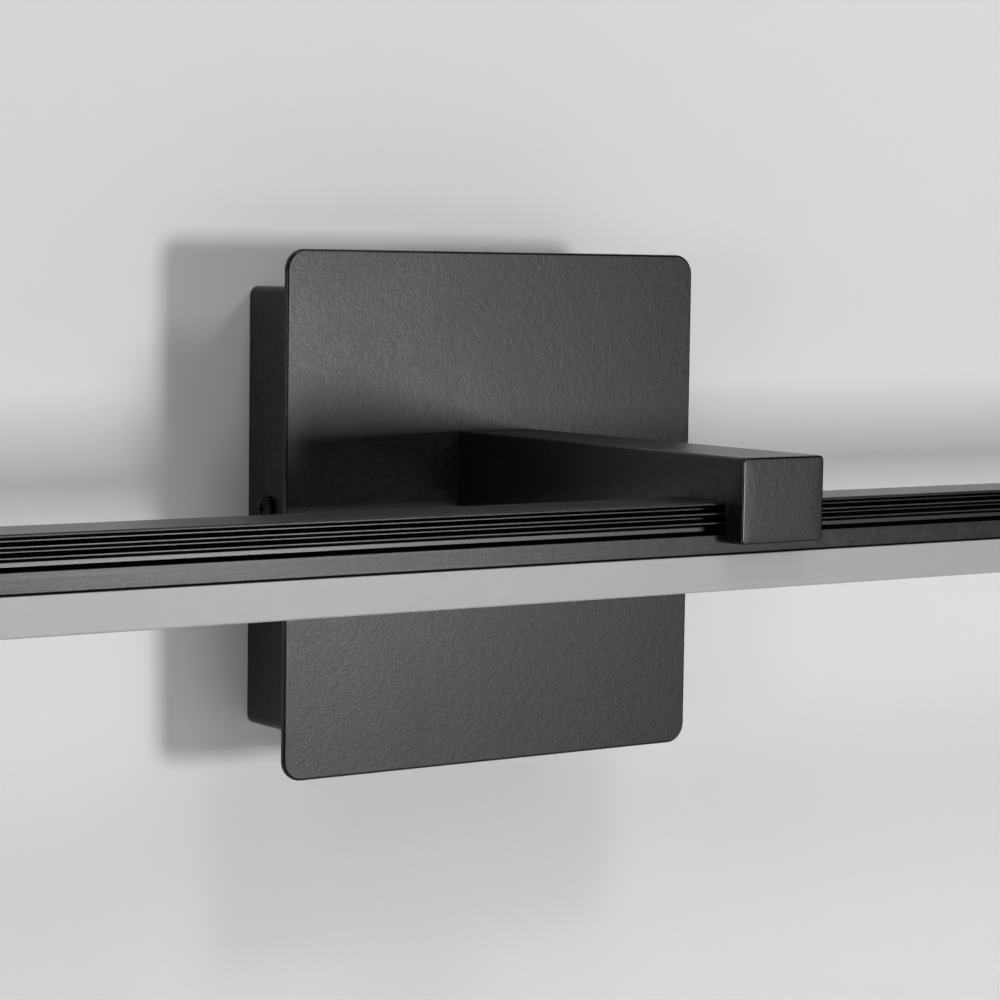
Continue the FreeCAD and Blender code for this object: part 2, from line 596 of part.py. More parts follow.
def buildBracket():
    """The steel strap against the wall, bent into an ear at each end."""
    part = body("wall_bracket")
    sketch = sketchOn(part, "strapProfile", "XY_Plane")
    half = "strapHalfWidth"
    inner = "strapHalfWidth - strapThickness"
    outline(sketch, [(f"-{half}", "-earDepth"), (f"-1 * ({inner})", "-earDepth"),
                     (f"-1 * ({inner})", "-strapThickness"), (inner, "-strapThickness"),
                     (inner, "-earDepth"), (half, "-earDepth"), (half, "0"), (f"-{half}", "0")])
    pad(part, sketch, "strapHeight", midplane=True)
    fillet(part, "strapBends", "strapBend",
           lambda edge: runsAlong(edge, Vector(0, 0, 1)) and matches(edge.CenterOfMass.y, 0))
    innerBend = -valueOf("strapThickness")
    fillet(part, "strapInnerBends", "strapBend - strapThickness",
           lambda edge: runsAlong(edge, Vector(0, 0, 1)) and matches(edge.CenterOfMass.y, innerBend))
    holes = sketchOn(part, "strapHoles", "XZ_Plane")
    slot(holes, ("-slotAcross", "0"), "slotLength", "slotRadius")
    slot(holes, ("slotAcross", "0"), "slotLength", "slotRadius")
    circle(holes, ("0", "0"), "centreHole")
    circle(holes, ("groundAcross", "groundUp"), "groundHole")
    pocket(part, holes, midplane=True)
    ears = sketchOn(part, "earHoles", "YZ_Plane")
    circle(ears, ("-sideScrewDepth", "sideScrewUp"), "sideScrewRadius + earClearance")
    pocket(part, ears, midplane=True)


def buildSideScrews():
    screws = []
    for name, side, turn in (("Left", "-", alongMinusX), ("Right", "", alongX)):
        seat = (f"{side}canopyWidth / 2", "-sideScrewDepth", "sideScrewUp")
        screws.append(screw("sideScrew" + name, "sideScrewRadius", "sideScrewLength", "sideScrewHead",
                            "sideScrewHeadHeight", seat, turn))
    group("side_screws", screws)


def buildGround():
    """The ground screw and its ring terminal on the strap."""
    face = "-strapThickness - ringThickness"
    seat = ("groundAcross", face, "groundUp")
    keep(screw("ground_screw", "groundScrewRadius", "groundScrewLength", "groundScrewHead",
               "groundScrewHeadHeight", seat, outward), "ground_screw")
    ring = cylinder("ringDisc", "ringRadius", "ringThickness",
                    ("groundAcross", "-strapThickness", "groundUp"), outward)
    tongue = box("ringTongue", ("tongueWidth", "ringThickness", "tongueLength"),
                 ("groundAcross - tongueWidth / 2", face, "groundUp"))
    barrel = cylinder("ringBarrel", "barrelRadius", "barrelLength",
                      ("groundAcross", "-strapThickness - barrelStep", "groundUp + barrelStart"))
    bore = cylinder("ringBore", "ringBore", "8 * ringThickness",
                    ("groundAcross", "4 * ringThickness - strapThickness", "groundUp"), outward)
    keep(cut("ground_ring", fuse("ringBlank", [ring, tongue, barrel]), [bore]), "ground_ring")


def buildDriver():
    """The driver's case with its lid, board and the larger parts on the board."""
    floor = "sheetThickness - canopyDepth"
    base = f"{floor} + padThickness"
    keep(box("driver_pad", ("driverLength - 2 * padInset", "padThickness", "driverHeight - 2 * padInset"),
             ("driverLeft + padInset", floor, "driverBottom + padInset")), "driver_pad")
    block = box("driverBlock", ("driverLength", "driverDepth - driverWall", "driverHeight"),
                ("driverLeft", base, "driverBottom"))
    shell = rounded("driverRounded", block, "driverCorner", lambda edge: runsAlong(edge, Vector(0, 1, 0)))
    hollow = box("driverHollow",
                 ("driverLength - 2 * driverWall", "driverDepth", "driverHeight - 2 * driverWall"),
                 ("driverLeft + driverWall", f"{base} + driverWall", "driverBottom + driverWall"))
    keep(cut("driver_case", shell, [hollow]), "driver_case")
    lid = box("driverLidBlock", ("driverLength", "driverWall", "driverHeight"),
              ("driverLeft", f"{base} + driverDepth - driverWall", "driverBottom"))
    keep(rounded("driver_lid", lid, "driverCorner", lambda edge: runsAlong(edge, Vector(0, 1, 0))),
         "driver_lid")
    board = f"{base} + driverWall + boardGap"
    inset = "driverWall + boardInset"
    keep(box("driver_board", (f"driverLength - 2 * ({inset})", "driverBoardThickness",
                              f"driverHeight - 2 * ({inset})"),
             (f"driverLeft + {inset}", board, f"driverBottom + {inset}")), "driver_board")
    face = f"{board} + driverBoardThickness"
    transformer = box("driverTransformer", ("transformerWidth", "transformerDepth", "transformerHeight"),
                      ("driverLeft + 30", face, "driverBottom + 6"))
    inlet = cylinder("driverInletCapacitor", "inletRadius", "inletLength",
                     ("driverLeft + 58", face, "driverBottom + driverHeight / 2"), alongY)
    outlet = cylinder("driverOutletCapacitor", "outletRadius", "outletLength",
                      ("driverLeft + 12", face, "driverBottom + 9"), alongY)
    choke = cylinder("driverChoke", "chokeRadius", "chokeLength",
                     ("driverLeft + 21", face, "driverBottom + 18"), alongY)
    group("driver_components", [transformer, inlet, outlet, choke])


def buildTerminal():
    """The three-pole screw terminal that joins the house supply to the driver and the ground lead."""
    floor = "sheetThickness - canopyDepth"
    base = f"{floor} + padThickness"
    inset = "terminalPadInset"
    keep(box("terminal_pad", (f"terminalLength - 2 * {inset}", "padThickness",
                              f"terminalHeight - 2 * {inset}"),
             (f"terminalLeft + {inset}", floor, f"terminalBottom + {inset}")), "terminal_pad")
    block = box("terminalBlank", ("terminalLength", "terminalDepth", "terminalHeight"),
                ("terminalLeft", base, "terminalBottom"))
    shell = rounded("terminalRounded", block, "terminalCorner",
                    lambda edge: runsAlong(edge, Vector(0, 1, 0)))
    wells = []
    screws = []
    mouth = f"{base} + terminalDepth - wellDepth"
    for pole in range(3):
        across = f"terminalLeft + firstPole + {pole} * polePitch"
        for row in ("lowRow", "highRow"):
            spot = (across, mouth, f"terminalBottom + {row}")
            wells.append(cylinder(f"{row}Well{pole}", "wellRadius", "wellDepth * 2", spot, alongY))
            disc = cylinder(f"{row}Disc{pole}", "clampRadius", "clampHeight", ("0", "0", "0"))
            groove = box(f"{row}Groove{pole}", ("clampRadius * 3", "clampSlot", "clampHeight"),
                         ("-1.5 * clampRadius", "-clampSlot / 2", "clampSlotFloor"))
            screws.append(place(cut(f"{row}Screw{pole}", disc, [groove]), spot, alongY))
    keep(cut("terminal_block", shell, wells), "terminal_block")
    group("terminal_screws", screws)


def buildLeads():
    roof = "driverBottom + driverHeight"
    for label, pole in (("lead_neutral", 1), ("lead_line", 2)):
        across = f"terminalLeft + firstPole + {pole} * polePitch"
        lead(label, "mainsRadius",
             [(across, "-leadDepth", roof), (across, "-leadDepth", "-4"), (across, "-mainsDepth", "12"),
              (across, "-mainsDepth", "terminalBottom")], ["supplyBend", "supplyBend"])
    start = "-strapThickness - barrelStep"
    barrelTop = "groundUp + barrelStart + barrelLength"
    lead("lead_ground", "mainsRadius",
         [("groundAcross", start, barrelTop), ("groundAcross", start, f"{barrelTop} + groundRise"),
          ("groundAcross", "-mainsDepth", f"{barrelTop} + groundRise"),
          ("groundAcross", "-mainsDepth", "terminalBottom")], ["groundBend", "groundBend"])
    for label, side in (("lead_negative", "-"), ("lead_positive", "")):
        across = f"{side}leadAcross"
        lead(label, "leadRadius",
             [(across, "-leadDepth", roof), (across, "-leadDepth", "wireUp"),
              (across, "-barCentre", "wireUp"),
              (across, "-barCentre", "channelTop - tapeThickness + connectorHeight")],
             ["leadBend", "tipBend"])


buildPlate()
buildCanopy()
buildStuds()
buildArm()
buildArmCap()
buildRootBlock()
buildArmScrews()
sleeve("arm_bush", "bushBore + bushWall + armBushRim", "armBushFlange", "sheetThickness + plateThickness",
       ("0", "sheetThickness - canopyDepth", "wireUp"), alongY)
buildSaddle()
buildExtrusion()
buildBarScrews()
sleeve("bar_bush", "bushBore + bushWall + barBushRim", "barBushFlange",
       "barTop + saddleThickness - chamberTop",
       ("0", "-barCentre", "barTop + saddleThickness"), upward)
buildEndCap("end_cap_left", "-")
buildEndCap("end_cap_right", "")
buildBoard()
buildDiffuser()
buildBracket()
buildSideScrews()
buildGround()
buildDriver()
buildTerminal()
buildLeads()

doc.recompute()
for item in doc.Objects:
    if "Invalid" in item.State or "Error" in item.State:
        raise RuntimeError(f"{item.Label} failed: {item.State}")
os.makedirs("parts", exist_ok=True)
for item in nodes:
    shape = item.Shape
    if shape.isNull() or not shape.isValid():
        raise RuntimeError(f"{item.Label} has no valid shape")
    shape.exportStep(f"parts/{item.Label}.step")
    print(item.Label, len(shape.Solids), "solids", round(shape.Volume, 1), "mm3")
print(len(nodes), "nodes")
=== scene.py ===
import bmesh
import bpy
import math
from mathutils import Matrix, Vector


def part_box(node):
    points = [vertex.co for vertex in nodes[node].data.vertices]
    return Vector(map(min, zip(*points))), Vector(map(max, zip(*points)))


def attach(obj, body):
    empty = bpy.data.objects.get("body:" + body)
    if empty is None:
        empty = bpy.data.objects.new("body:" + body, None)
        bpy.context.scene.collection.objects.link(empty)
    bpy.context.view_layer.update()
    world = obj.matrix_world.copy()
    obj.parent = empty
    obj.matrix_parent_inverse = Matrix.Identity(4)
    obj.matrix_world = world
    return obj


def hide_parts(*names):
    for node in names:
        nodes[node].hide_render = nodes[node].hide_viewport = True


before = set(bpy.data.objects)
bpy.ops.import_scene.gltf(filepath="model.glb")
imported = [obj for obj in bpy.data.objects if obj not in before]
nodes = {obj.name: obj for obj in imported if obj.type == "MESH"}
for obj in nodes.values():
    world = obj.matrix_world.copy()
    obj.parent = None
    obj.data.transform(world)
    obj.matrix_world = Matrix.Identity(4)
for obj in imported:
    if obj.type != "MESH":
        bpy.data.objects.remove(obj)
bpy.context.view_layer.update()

mm = 0.001
print("frame loaded,", len(nodes), "nodes")


# shader groups

def newGroup(name, inputs, outputs):
    group = bpy.data.node_groups.new(name, "ShaderNodeTree")
    for label, value in inputs.items():
        socket = group.interface.new_socket(label, in_out="INPUT", socket_type="NodeSocketFloat")
        socket.default_value = value
    for label in outputs:
        group.interface.new_socket(label, in_out="OUTPUT", socket_type="NodeSocketFloat")
    source = group.nodes.new("NodeGroupInput")
    target = group.nodes.new("NodeGroupOutput")
    return group, source, target


def setOrLink(tree, socket, value):
    if isinstance(value, bpy.types.NodeSocket):
        tree.links.new(value, socket)
    else:
        socket.default_value = value


def mathNode(tree, operation, first, second):
    node = tree.nodes.new("ShaderNodeMath")
    node.operation = operation
    setOrLink(tree, node.inputs[0], first)
    setOrLink(tree, node.inputs[1], second)
    return node.outputs[0]


noiseRoughness = 0.55


def noiseNode(tree, scale, detail, coordinates):
    node = tree.nodes.new("ShaderNodeTexNoise")
    node.inputs["Detail"].default_value = detail
    node.inputs["Roughness"].default_value = noiseRoughness
    tree.links.new(coordinates, node.inputs["Vector"])
    setOrLink(tree, node.inputs["Scale"], scale)
    return node.outputs["Fac"]


def rangeNode(tree, value, low, high, newLow, newHigh):
    node = tree.nodes.new("ShaderNodeMapRange")
    tree.links.new(value, node.inputs["Value"])
    for label, amount in (("From Min", low), ("From Max", high), ("To Min", newLow), ("To Max", newHigh)):
        setOrLink(tree, node.inputs[label], amount)
    return node.outputs["Result"]


def objectPlace(tree):
    return tree.nodes.new("ShaderNodeTexCoord").outputs["Object"]


def stretched(tree, along, across, alongAxis):
    stretch = tree.nodes.new("ShaderNodeVectorMath")
    stretch.operation = "MULTIPLY"
    sizes = tree.nodes.new("ShaderNodeCombineXYZ")
    for axis in range(3):
        tree.links.new(along if axis == alongAxis else across, sizes.inputs[axis])
    tree.links.new(objectPlace(tree), stretch.inputs[0])
    tree.links.new(sizes.outputs[0], stretch.inputs[1])
    return stretch.outputs[0]


# coarse is how much larger and how much weaker the second grain is; patchShare is its part of the roughness
powderMix = {"coarseScale": 0.3, "coarseShare": 0.8, "patchShare": 0.4, "speckFrom": 0.6, "speckTo": 0.7}


# fine sandy texture of a baked powder coat: bumps, light specks, and patches a little rougher
def buildPowderGroup():
    group, source, target = newGroup(
        "powderGrain", {"Grain": 1800.0, "Patches": 40.0, "Rough Low": 0.45, "Rough High": 0.52},
        ["Height", "Roughness", "Speck"])
    where = objectPlace(group)
    fine = noiseNode(group, source.outputs["Grain"], 3.0, where)
    coarseGrain = mathNode(group, "MULTIPLY", source.outputs["Grain"], powderMix["coarseScale"])
    coarse = noiseNode(group, coarseGrain, 2.0, where)
    height = mathNode(group, "ADD", fine, mathNode(group, "MULTIPLY", coarse, powderMix["coarseShare"]))
    patches = noiseNode(group, source.outputs["Patches"], 4.0, where)
    share = powderMix["patchShare"]
    blend = mathNode(group, "ADD", mathNode(group, "MULTIPLY", patches, share),
                     mathNode(group, "MULTIPLY", fine, 1 - share))
    rough = rangeNode(group, blend, 0.3, 0.7, source.outputs["Rough Low"], source.outputs["Rough High"])
    group.links.new(height, target.inputs["Height"])
    group.links.new(rough, target.inputs["Roughness"])
    speck = rangeNode(group, fine, powderMix["speckFrom"], powderMix["speckTo"], 0.0, 1.0)
    group.links.new(speck, target.inputs["Speck"])
    return group


# long faint lines left by a die or a brush, running along one axis
def buildLinesGroup(name, alongAxis):
    group, source, target = newGroup(
        name, {"Across": 2500.0, "Along": 8.0, "Rough Low": 0.38, "Rough High": 0.48},
        ["Height", "Roughness"])
    place = stretched(group, source.outputs["Along"], source.outputs["Across"], alongAxis)
    lines = noiseNode(group, 1.0, 2.0, place)
    rough = rangeNode(group, lines, 0.3, 0.7, source.outputs["Rough Low"], source.outputs["Rough High"])
    group.links.new(lines, target.inputs["Height"])
    group.links.new(rough, target.inputs["Roughness"])
    return group


# light wear where the surface turns sharply outward
def buildWearGroup():
    group, source, target = newGroup(
        "edgeWear", {"Start": 0.52, "End": 0.62, "Breakup": 600.0}, ["Mask"])
    point = group.nodes.new("ShaderNodeNewGeometry").outputs["Pointiness"]
    edge = rangeNode(group, point, source.outputs["Start"], source.outputs["End"], 0.0, 1.0)
    broken = noiseNode(group, source.outputs["Breakup"], 4.0, objectPlace(group))
    mask = mathNode(group, "MULTIPLY", edge, rangeNode(group, broken, 0.35, 0.65, 0.2, 1.0))
    group.links.new(mask, target.inputs["Mask"])
    return group


# settled dust on faces that look up
def buildDustGroup():
    group, source, target = newGroup("topDust", {"Clumps": 500.0}, ["Mask"])
    normal = group.nodes.new("ShaderNodeNewGeometry").outputs["Normal"]
    split = group.nodes.new("ShaderNodeSeparateXYZ")
    group.links.new(normal, split.inputs[0])
    up = rangeNode(group, split.outputs[2], 0.6, 1.0, 0.0, 1.0)
    clumps = noiseNode(group, source.outputs["Clumps"], 5.0, objectPlace(group))
    mask = mathNode(group, "MULTIPLY", up, rangeNode(group, clumps, 0.45, 0.75, 0.0, 1.0))
    group.links.new(mask, target.inputs["Mask"])
    return group


# the patchwork of crystals on plated steel
def buildSpangleGroup():
    group, source, target = newGroup("spangle", {"Crystals": 350.0}, ["Tone"])
    cells = group.nodes.new("ShaderNodeTexVoronoi")
    group.links.new(objectPlace(group), cells.inputs["Vector"])
    group.links.new(source.outputs["Crystals"], cells.inputs["Scale"])
    split = group.nodes.new("ShaderNodeSeparateColor")
    group.links.new(cells.outputs["Color"], split.inputs[0])
    group.links.new(split.outputs[0], target.inputs["Tone"])
    return group


groups = {"powder": buildPowderGroup(), "wear": buildWearGroup(), "dust": buildDustGroup(),
          "linesX": buildLinesGroup("linesAlongX", 0), "linesY": buildLinesGroup("linesAlongY", 1),
          "spangle": buildSpangleGroup()}
print("shader groups built")


# materials

def startMaterial(name):
    material = bpy.data.materials.new(name)
    material.use_nodes = True
    tree = material.node_tree
    shader = tree.nodes["Principled BSDF"]
    return material, tree, shader


# a space in the name of a group's input is written as an underscore
def addGroup(tree, kind, **values):
    node = tree.nodes.new("ShaderNodeGroup")
    node.node_tree = groups[kind]
    for label, value in values.items():
        node.inputs[label.replace("_", " ")].default_value = value
    return node


def addBump(tree, shader, height, strength, distance):
    bump = tree.nodes.new("ShaderNodeBump")
    bump.inputs["Strength"].default_value = strength
    bump.inputs["Distance"].default_value = distance
    tree.links.new(height, bump.inputs["Height"])
    tree.links.new(bump.outputs["Normal"], shader.inputs["Normal"])


# the mix node's colours go in at 6 and 7 and come out at 2
def mixColour(tree, mask, first, second):
    node = tree.nodes.new("ShaderNodeMix")
    node.data_type = "RGBA"
    for number, value in ((0, mask), (6, first), (7, second)):
        setOrLink(tree, node.inputs[number], value)
    return node.outputs[2]


def shade(colour, factor=1.0):
    if isinstance(colour, float):
        colour = (colour, colour, colour)
    return tuple(channel * factor for channel in colour) + (1.0,)


# colours are linear; speck is how much brighter the specks are, dusty how much of the dust shows
powderCoat = {"colour": 0.004, "speck": 5.0, "worn": 0.03, "dust": 0.04, "dusty": 0.25, "grain": 1450.0,
              "bump": 0.9, "depth": 0.034 * mm, "roughLow": 0.30, "roughHigh": 0.38, "ior": 1.35}
glossyEdge = {**powderCoat, "bump": 0.3, "roughLow": 0.14, "roughHigh": 0.18}


def buildPowderCoat(name, finish):
    material, tree, shader = startMaterial(name)
    powder = addGroup(tree, "powder", Grain=finish["grain"], Rough_Low=finish["roughLow"],
                      Rough_High=finish["roughHigh"])
    wear = addGroup(tree, "wear")
    dust = addGroup(tree, "dust")
    tone = mixColour(tree, powder.outputs["Speck"], shade(finish["colour"]),
                     shade(finish["colour"], finish["speck"]))
    tone = mixColour(tree, wear.outputs["Mask"], tone, shade(finish["worn"]))
    thin = mathNode(tree, "MULTIPLY", dust.outputs["Mask"], finish["dusty"])
    tone = mixColour(tree, thin, tone, shade(finish["dust"]))
    tree.links.new(tone, shader.inputs["Base Color"])
    tree.links.new(powder.outputs["Roughness"], shader.inputs["Roughness"])
    shader.inputs["IOR"].default_value = finish["ior"]
    addBump(tree, shader, powder.outputs["Height"], finish["bump"], finish["depth"])
    return material


drawnBar = {"colour": 0.003, "speck": 8.0, "worn": 0.02, "roughLow": 0.30, "roughHigh": 0.34,
            "grain": 1900.0, "lines": 1200.0, "bump": 0.9, "depth": 0.02 * mm, "ior": 1.328}
burnishedRidge = {**drawnBar, "bump": 0.3, "ior": 1.42}
# painted shade: the groove slopes and the gap over the trough are coloured darker and barely reflect
paintedShadeGroove = {**drawnBar, "colour": 0.0006, "speck": 2.0, "worn": 0.002, "ior": 1.04}


def buildDrawnBar(name, finish):
    material, tree, shader = startMaterial(name)
    drawn = addGroup(tree, "linesX", Across=finish["lines"], Rough_Low=finish["roughLow"],
                     Rough_High=finish["roughHigh"])
    powder = addGroup(tree, "powder", Grain=finish["grain"])
    wear = addGroup(tree, "wear")
    tone = mixColour(tree, powder.outputs["Speck"], shade(finish["colour"]),
                     shade(finish["colour"], finish["speck"]))
    tone = mixColour(tree, wear.outputs["Mask"], tone, shade(finish["worn"]))
    tree.links.new(tone, shader.inputs["Base Color"])
    tree.links.new(drawn.outputs["Roughness"], shader.inputs["Roughness"])
    shader.inputs["IOR"].default_value = finish["ior"]
    height = mathNode(tree, "ADD", drawn.outputs["Height"], powder.outputs["Height"])
    addBump(tree, shader, height, finish["bump"], finish["depth"])
    return material


opalAcrylic = {"colour": 0.372, "unevenness": 0.03, "rough": 0.42, "grain": 900.0, "patches": 60.0,
               "ior": 1.49, "glow": 0.25, "reach": 2 * mm}


def buildAcrylic():
    material, tree, shader = startMaterial("opalAcrylic")
    uneven = opalAcrylic["unevenness"]
    powder = addGroup(tree, "powder", Grain=opalAcrylic["grain"], Patches=opalAcrylic["patches"],
                      Rough_Low=opalAcrylic["rough"] - uneven, Rough_High=opalAcrylic["rough"] + uneven)
    tone = mixColour(tree, powder.outputs["Roughness"], shade(opalAcrylic["colour"], 1 - uneven),
                     shade(opalAcrylic["colour"], 1 + uneven))
    tree.links.new(tone, shader.inputs["Base Color"])
    tree.links.new(powder.outputs["Roughness"], shader.inputs["Roughness"])
    shader.inputs["IOR"].default_value = opalAcrylic["ior"]
    shader.inputs["Subsurface Weight"].default_value = opalAcrylic["glow"]
    shader.inputs["Subsurface Radius"].default_value = (1.0, 1.0, 1.0)
    shader.inputs["Subsurface Scale"].default_value = opalAcrylic["reach"]
    return material


metals = {
    "zincSteel": {"colour": (0.58, 0.60, 0.62), "dull": (0.36, 0.37, 0.39), "lines": "linesX",
                  "roughLow": 0.26, "roughHigh": 0.42, "bump": 0.2},
    "brightAluminium": {"colour": (0.78, 0.78, 0.79), "dull": (0.60, 0.60, 0.61), "lines": "linesY",
                        "roughLow": 0.22, "roughHigh": 0.36, "bump": 0.3},
    "tinnedCopper": {"colour": (0.72, 0.71, 0.68), "dull": (0.52, 0.46, 0.38), "lines": "linesX",
                     "roughLow": 0.25, "roughHigh": 0.38, "bump": 0.15},
    "greenScrew": {"colour": (0.06, 0.30, 0.11), "dull": (0.04, 0.20, 0.08), "lines": "linesX",
                   "roughLow": 0.30, "roughHigh": 0.42, "bump": 0.15},
    "blackScrew": {"colour": (0.030, 0.030, 0.032), "dull": (0.018, 0.018, 0.018), "lines": "linesX",
                   "roughLow": 0.34, "roughHigh": 0.46, "bump": 0.2},
}


metalGrain = {"across": 1800.0, "along": 60.0, "worn": 1.2, "depth": 0.01 * mm}


def buildMetal(name, finish):
    material, tree, shader = startMaterial(name)
    lines = addGroup(tree, finish["lines"], Across=metalGrain["across"], Along=metalGrain["along"],
                     Rough_Low=finish["roughLow"], Rough_High=finish["roughHigh"])
    spangle = addGroup(tree, "spangle")
    wear = addGroup(tree, "wear")
    tone = mixColour(tree, spangle.outputs["Tone"], shade(finish["colour"]), shade(finish["dull"]))
    tone = mixColour(tree, wear.outputs["Mask"], tone, shade(finish["colour"], metalGrain["worn"]))
    tree.links.new(tone, shader.inputs["Base Color"])
    tree.links.new(lines.outputs["Roughness"], shader.inputs["Roughness"])
    shader.inputs["Metallic"].default_value = 1.0
    addBump(tree, shader, lines.outputs["Height"], finish["bump"], metalGrain["depth"])
    return material


plastics = {
    "blackPlastic": {"colour": 0.012, "rough": 0.42, "grain": 1500.0, "bump": 0.2, "glow": 0.0},
    "blackNylon": {"colour": 0.015, "rough": 0.48, "grain": 900.0, "bump": 0.2, "glow": 0.0},
    "whiteNylon": {"colour": (0.74, 0.73, 0.70), "rough": 0.42, "grain": 900.0, "bump": 0.2, "glow": 0.15},
    "componentPlastic": {"colour": (0.05, 0.05, 0.07), "rough": 0.38, "grain": 1200.0, "bump": 0.2,
                         "glow": 0.0},
    "whiteMask": {"colour": (0.82, 0.82, 0.79), "rough": 0.30, "grain": 700.0, "bump": 0.1, "glow": 0.0},
    "greenMask": {"colour": (0.02, 0.16, 0.05), "rough": 0.28, "grain": 700.0, "bump": 0.1, "glow": 0.0},
    "greyTape": {"colour": (0.30, 0.31, 0.32), "rough": 0.72, "grain": 500.0, "bump": 0.6, "glow": 0.0},
    "phosphor": {"colour": (0.80, 0.62, 0.12), "rough": 0.35, "grain": 2500.0, "bump": 0.3, "glow": 0.2},
    "whiteLead": {"colour": (0.72, 0.72, 0.70), "rough": 0.36, "grain": 400.0, "bump": 0.15, "glow": 0.1},
    "blackLead": {"colour": 0.014, "rough": 0.34, "grain": 400.0, "bump": 0.15, "glow": 0.0},
    "greenLead": {"colour": (0.03, 0.26, 0.08), "rough": 0.36, "grain": 400.0, "bump": 0.15, "glow": 0.05},
    "redLead": {"colour": (0.42, 0.025, 0.02), "rough": 0.36, "grain": 400.0, "bump": 0.15, "glow": 0.05},
}


moulded = {"smoother": 0.04, "rougher": 0.05, "speck": 1.25, "dusty": 0.12, "dust": 0.30,
           "depth": 0.02 * mm, "reach": 0.6 * mm}


def buildPlastic(name, finish):
    material, tree, shader = startMaterial(name)
    powder = addGroup(tree, "powder", Grain=finish["grain"], Rough_Low=finish["rough"] - moulded["smoother"],
                      Rough_High=finish["rough"] + moulded["rougher"])
    dust = addGroup(tree, "dust")
    tone = mixColour(tree, powder.outputs["Speck"], shade(finish["colour"]),
                     shade(finish["colour"], moulded["speck"]))
    thin = mathNode(tree, "MULTIPLY", dust.outputs["Mask"], moulded["dusty"])
    tone = mixColour(tree, thin, tone, shade(moulded["dust"]))
    tree.links.new(tone, shader.inputs["Base Color"])
    tree.links.new(powder.outputs["Roughness"], shader.inputs["Roughness"])
    shader.inputs["Subsurface Weight"].default_value = finish["glow"]
    shader.inputs["Subsurface Radius"].default_value = (1.0, 1.0, 1.0)
    shader.inputs["Subsurface Scale"].default_value = moulded["reach"]
    addBump(tree, shader, powder.outputs["Height"], finish["bump"], moulded["depth"])
    return material


materials = {"powderCoat": buildPowderCoat("powderCoat", powderCoat),
             "glossyEdge": buildPowderCoat("glossyEdge", glossyEdge),
             "drawnBar": buildDrawnBar("blackExtrusion", drawnBar),
             "burnishedRidge": buildDrawnBar("burnishedRidge", burnishedRidge),
             "paintedShadeGroove": buildDrawnBar("paintedShadeGroove", paintedShadeGroove),
             "opalAcrylic": buildAcrylic()}
for label, values in metals.items():
    materials[label] = buildMetal(label, values)
for label, values in plastics.items():
    materials[label] = buildPlastic(label, values)
print("materials built,", len(materials))

finishOfSlot = {
    "black_powder": "powderCoat", "black_anodised": "drawnBar", "frosted_acrylic": "opalAcrylic",
    "zinc_steel": "zincSteel", "bright_aluminium": "brightAluminium", "tinned_copper": "tinnedCopper",
    "green_screw": "greenScrew", "black_screw": "blackScrew", "black_plastic": "blackPlastic",
    "black_nylon": "blackNylon", "white_nylon": "whiteNylon", "component_plastic": "componentPlastic",
    "white_board": "whiteMask", "green_board": "greenMask", "grey_tape": "greyTape",
    "phosphor": "phosphor", "white_lead": "whiteLead", "black_lead": "blackLead",
    "green_lead": "greenLead", "red_lead": "redLead"}
slotOfNode = {
    "arm_root_block": "bright_aluminium", "saddle_block": "bright_aluminium", "bar_bush": "black_nylon",
    "bar_screws": "zinc_steel", "led_board": "white_board", "thermal_tape": "grey_tape",
    "board_connector": "white_nylon", "led_chips": "phosphor", "driver_pad": "grey_tape",
    "terminal_pad": "grey_tape", "driver_board": "green_board", "driver_components": "component_plastic",
    "lead_neutral": "white_lead", "lead_line": "black_lead", "lead_ground": "green_lead",
    "lead_negative": "black_lead", "lead_positive": "red_lead"}
for node, slotName in slotOfNode.items():
    nodes[node].data.materials.clear()
    nodes[node].data.materials.append(materials[finishOfSlot[slotName]])
print("carried-over nodes dressed,", len(slotOfNode))


# shaping: outlines are in mm and flat, and facingX, facingY or facingZ says where they stand

def facingX(x):
    return lambda across, up: (x, across, up)


def facingY(y):
    return lambda across, up: (across, y, up)


def facingZ(z):
    return lambda across, along: (across, along, z)


def roundedOutline(low, high, corner, steps=8):
    points = []
    centres = ((high[0] - corner, high[1] - corner), (low[0] + corner, high[1] - corner),
               (low[0] + corner, low[1] + corner), (high[0] - corner, low[1] + corner))
    for quarter, (across, up) in enumerate(centres):
        for step in range(steps + 1):
            angle = math.radians(90) * (quarter + step / steps)
            points.append((across + corner * math.cos(angle), up + corner * math.sin(angle)))
    return points


def roundOutline(centre, radius, steps=40):
    return [(centre[0] + radius * math.cos(math.tau * step / steps),
             centre[1] + radius * math.sin(math.tau * step / steps)) for step in range(steps)]


# how far in and how far down each step of a quarter round goes, as parts of its radius
def quarterRound(steps):
    angles = [math.radians(90) * step / steps for step in range(steps + 1)]
    return [(1 - math.cos(angle), 1 - math.sin(angle)) for angle in angles]


# a polygon whose corners are cut back by their third value and rounded
def softOutline(corners, steps=4):
    longestCut = 0.48  # of a side, so that the cuts of two neighbours never meet
    points = []
    for index, (across, up, cut) in enumerate(corners):
        here = Vector((across, up))
        if cut == 0:
            points.append(tuple(here))
            continue
        before = Vector(corners[index - 1][:2]) - here
        after = Vector(corners[(index + 1) % len(corners)][:2]) - here
        start = here + before.normalized() * min(cut, before.length * longestCut)
        end = here + after.normalized() * min(cut, after.length * longestCut)
        for step in range(steps + 1):
            part = step / steps
            points.append(tuple((1 - part) ** 2 * start + 2 * part * (1 - part) * here + part ** 2 * end))
    return points


def placed(outline, plane):
    return [Vector(plane(*point)) for point in outline]


# rounded outlines between two corners, one for each station's inset and place
def insetRings(low, high, corner, stations, plane, steps, leastCorner=0.3):
    rings = []
    for inset, place in stations:
        outline = roundedOutline((low[0] + inset, low[1] + inset), (high[0] - inset, high[1] - inset),
                                 max(corner - inset, leastCorner), steps)
        rings.append(placed(outline, plane(place)))
    return rings


